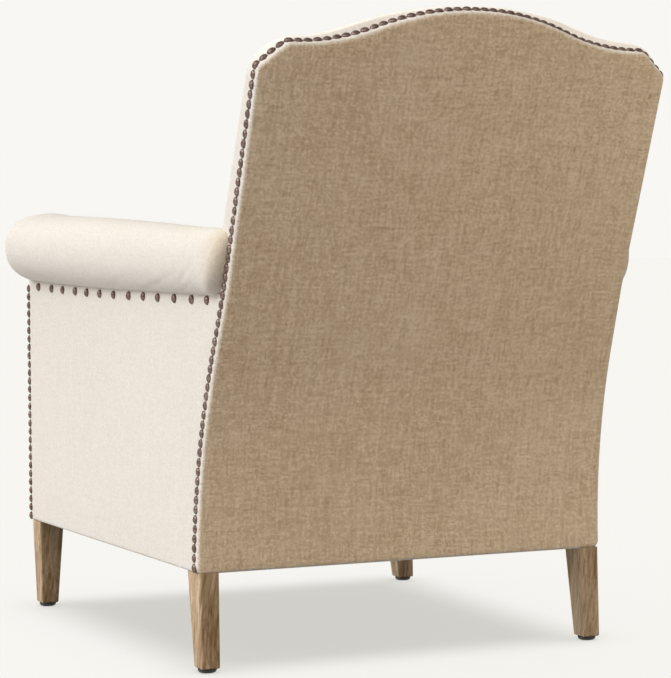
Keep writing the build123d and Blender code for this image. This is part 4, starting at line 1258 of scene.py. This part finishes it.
makeCushion()
print("cushion made")


# Nail heads: low domes on points, each turned to its cloth and a little uneven
def nailTree():
    sockets = [
        ("Points", "NodeSocketGeometry", None), ("Radius", "NodeSocketFloat", 0.00635),
        ("Height", "NodeSocketFloat", 0.0034), ("Wander", "NodeSocketFloat", 0.0003),
        ("Tilt", "NodeSocketFloat", 0.05), ("Seed", "NodeSocketInt", 4), ("Finish", "NodeSocketMaterial", None),
    ]
    tree, given, out = newGroup("nailHeads", sockets, [("Heads", "NodeSocketGeometry")], "GeometryNodeTree")
    seed, wander = given.outputs["Seed"], given.outputs["Wander"]

    def spread(amount, shift):
        low = place(tree, "ShaderNodeVectorMath", {0: (-1, -1, -1), "Scale": amount}, operation="SCALE").outputs[0]
        high = place(tree, "ShaderNodeVectorMath", {0: (1, 1, 1), "Scale": amount}, operation="SCALE").outputs[0]
        node = place(tree, "FunctionNodeRandomValue", {0: low, 1: high}, data_type="FLOAT_VECTOR")
        return feed(tree, node, {"Seed": math(tree, "ADD", seed, shift)}).outputs[0]

    moved = place(tree, "GeometryNodeSetPosition", {"Geometry": given.outputs["Points"], "Offset": spread(wander, 0.0)})
    sphere = place(tree, "GeometryNodeMeshUVSphere", {"Segments": 14, "Rings": 7, "Radius": 1.0})
    radius, height = given.outputs["Radius"], given.outputs["Height"]
    size = place(tree, "ShaderNodeCombineXYZ", {0: radius, 1: radius, 2: height})
    dome = place(tree, "GeometryNodeTransform", {"Geometry": sphere.outputs[0], "Scale": size.outputs[0]})
    facing = place(tree, "GeometryNodeInputNamedAttribute", {"Name": "facing"}, data_type="FLOAT_VECTOR")
    turn = place(tree, "FunctionNodeAlignRotationToVector", {"Vector": facing.outputs[0]}, axis="Z")
    tilt = {"Rotation": turn.outputs[0], "Rotate By": spread(given.outputs["Tilt"], 7.0)}
    leaned = place(tree, "FunctionNodeRotateRotation", tilt, rotation_space="LOCAL")
    heads = place(tree, "GeometryNodeInstanceOnPoints", {
        "Points": moved.outputs[0], "Instance": dome.outputs[0], "Rotation": leaned.outputs[0],
    })
    real = place(tree, "GeometryNodeRealizeInstances", {"Geometry": heads.outputs[0]})
    smooth = place(tree, "GeometryNodeSetShadeSmooth", {0: real.outputs[0]})
    coat = {"Geometry": smooth.outputs[0], "Material": given.outputs["Finish"]}
    finished = place(tree, "GeometryNodeSetMaterial", coat)
    tree.links.new(finished.outputs[0], out.inputs[0])
    return tree


nailHeads = nailTree()


def makeNails(name, points, facing, stands, seed):
    mesh = bpy.data.meshes.new(name)
    mesh.from_pydata(np.asarray(points).tolist(), [], [])
    attribute = mesh.attributes.new("facing", "FLOAT_VECTOR", "POINT")
    attribute.data.foreach_set("vector", np.asarray(facing, np.float32).ravel())
    piece = placed(name, mesh)
    grow = piece.modifiers.new("heads", "NODES")
    grow.node_group = nailHeads
    values = {"Radius": nailPlan["radius"], "Height": nailPlan["height"], "Seed": seed, "Finish": bronze}
    for item in nailHeads.interface.items_tree:
        if item.name in values:
            grow[item.identifier] = values[item.name]
    applyModifiers(piece)
    return finishPiece(piece, bronze, stands)


def backNails():
    # evenly spaced along the row round the outline, from the foot of one side to the other
    half, _ = camelHalf(-0.0004, nailPlan["firstHeight"] - body["bottom"])
    line = np.concatenate([half, half[-2::-1] * np.array([-1, 1])])
    inPlane = outwardOf(line)
    inPlane[0], inPlane[-1] = inPlane[1], inPlane[-2]
    setback = nailPlan["setback"]
    points = backPoint(line[:, 0], line[:, 1], setback)
    turn = np.clip((line[:, 1] - uprightRun) / body["bendRadius"], 0, rake)
    upDirection = np.stack([np.zeros(len(turn)), np.sin(turn), np.cos(turn)], axis=1)
    normals = inPlane[:, :1] * np.array([1.0, 0, 0]) + inPlane[:, 1:] * upDirection
    lengths = lengthsOf(points)
    count = 2 * round(lengths[-1] / 2 / nailPlan["pitch"]) + 1
    at = np.linspace(0, lengths[-1], count)
    spots, facing = (np.stack([np.interp(at, lengths, c) for c in rows.T], axis=1) for rows in (points, normals))
    print("nails round the back:", count)
    makeNails("nailsBackRow", spots, facing, ["nails_back"], 4)


backNails()


def sideNails():
    y, z = armNailPlaces()
    x = sideX(y, z, 0.0)
    points = np.stack([x, y, z], axis=1)
    facing = np.tile([1.0, 0.04, 0.0], (len(y), 1))
    radius = nailPlan["cornerRadius"]
    rise = body["sideTop"] - nailPlan["cornerDrop"] - nailPlan["firstHeight"]
    count = round(rise / nailPlan["cornerPitch"]) + 1
    heights = nailPlan["firstHeight"] + np.linspace(0, rise, count)
    turn = nailPlan["cornerTurn"]
    cornerX = body["frontHalf"] - radius + radius * cos(turn)
    cornerY = body["frontFace"] + radius - radius * sin(turn)
    corner = np.stack([np.full(count, cornerX), np.full(count, cornerY), heights], axis=1)
    cornerFacing = np.tile([cos(turn), -sin(turn), 0.0], (count, 1))
    mirror = np.array([-1, 1, 1])
    makeNails("nailsArmLeft", points, facing, ["nails_arm_left"], 11)
    makeNails("nailsArmRight", points * mirror, facing * mirror, ["nails_arm_right"], 12)
    makeNails("nailsFrontLeft", corner, cornerFacing, ["nails_front_left"], 13)
    makeNails("nailsFrontRight", corner * mirror, cornerFacing * mirror, ["nails_front_right"], 14)


sideNails()
print("nails made")


# Glides: domed discs under the feet
def makeGlides():
    glide = dict(
        radius=0.0135, height=0.0065, foot=0.0085, sides=40, shoulder=0.0056, bevel=0.0006, bowl=0.0046,
        front=(0.3253, -0.4304), rear=(0.3048, 0.2459),
    )
    profile = [(0.0, 0.0), (glide["foot"] * 0.7, 0.0), (glide["foot"], 0.0003)]
    for angle in np.linspace(0.25, pi / 2, 6):
        reach = glide["foot"] + (glide["radius"] - glide["foot"]) * sin(angle)
        profile.append((reach, glide["bowl"] * (1 - cos(angle)) + 0.0001))
    profile.append((glide["radius"], glide["shoulder"]))
    profile += [(glide["radius"] - glide["bevel"], glide["height"]), (0.0, glide["height"])]
    turn = np.linspace(0, 2 * pi, glide["sides"], endpoint=False)
    vertices, faces = [], []
    for x, y in [(side * x, y) for x, y in (glide["front"], glide["rear"]) for side in (1, -1)]:
        start = len(vertices)
        vertices.append((x, y, profile[0][1]))
        for radius, z in profile[1:-1]:
            vertices += [(x + radius * cos(a), y + radius * sin(a), z) for a in turn]
        vertices.append((x, y, profile[-1][1]))
        sides, rings = glide["sides"], len(profile) - 2
        for i in range(sides):
            j = (i + 1) % sides
            faces.append((start, start + 1 + j, start + 1 + i))
            for ring in range(rings - 1):
                a, b = start + 1 + ring * sides, start + 1 + (ring + 1) * sides
                faces.append((a + i, a + j, b + j, b + i))
            last = start + 1 + (rings - 1) * sides
            faces.append((last + i, last + j, start + 1 + rings * sides))
    piece = meshObject("legGlideDiscs", vertices, faces, np.zeros((len(vertices), 2)))
    outwards(piece)
    return finishPiece(piece, glideBlack, ["leg_glides"])


makeGlides()

# CAD nodes that stay, with their finishes
finishes = {
    "front_leg": oak, "rear_leg": oak, "front_seat_rail": frameWood, "rear_seat_rail": frameWood,
    "side_seat_rail": frameWood, "corner_blocks": frameWood, "crest_rail": frameWood, "back_lower_rail": frameWood,
    "back_post": frameWood, "arm_stump": frameWood, "arm_rail": frameWood, "seat_springs": springSteel,
    "spring_clips": springSteel, "leg_bolts": springSteel, "back_webbing": webbingJute, "dust_cover": cambric,
}
for nodeName, node in nodes.items():
    for start, finish in finishes.items():
        if nodeName.startswith(start):
            node.data.materials.clear()
            node.data.materials.append(finish)
print("CAD nodes finished")
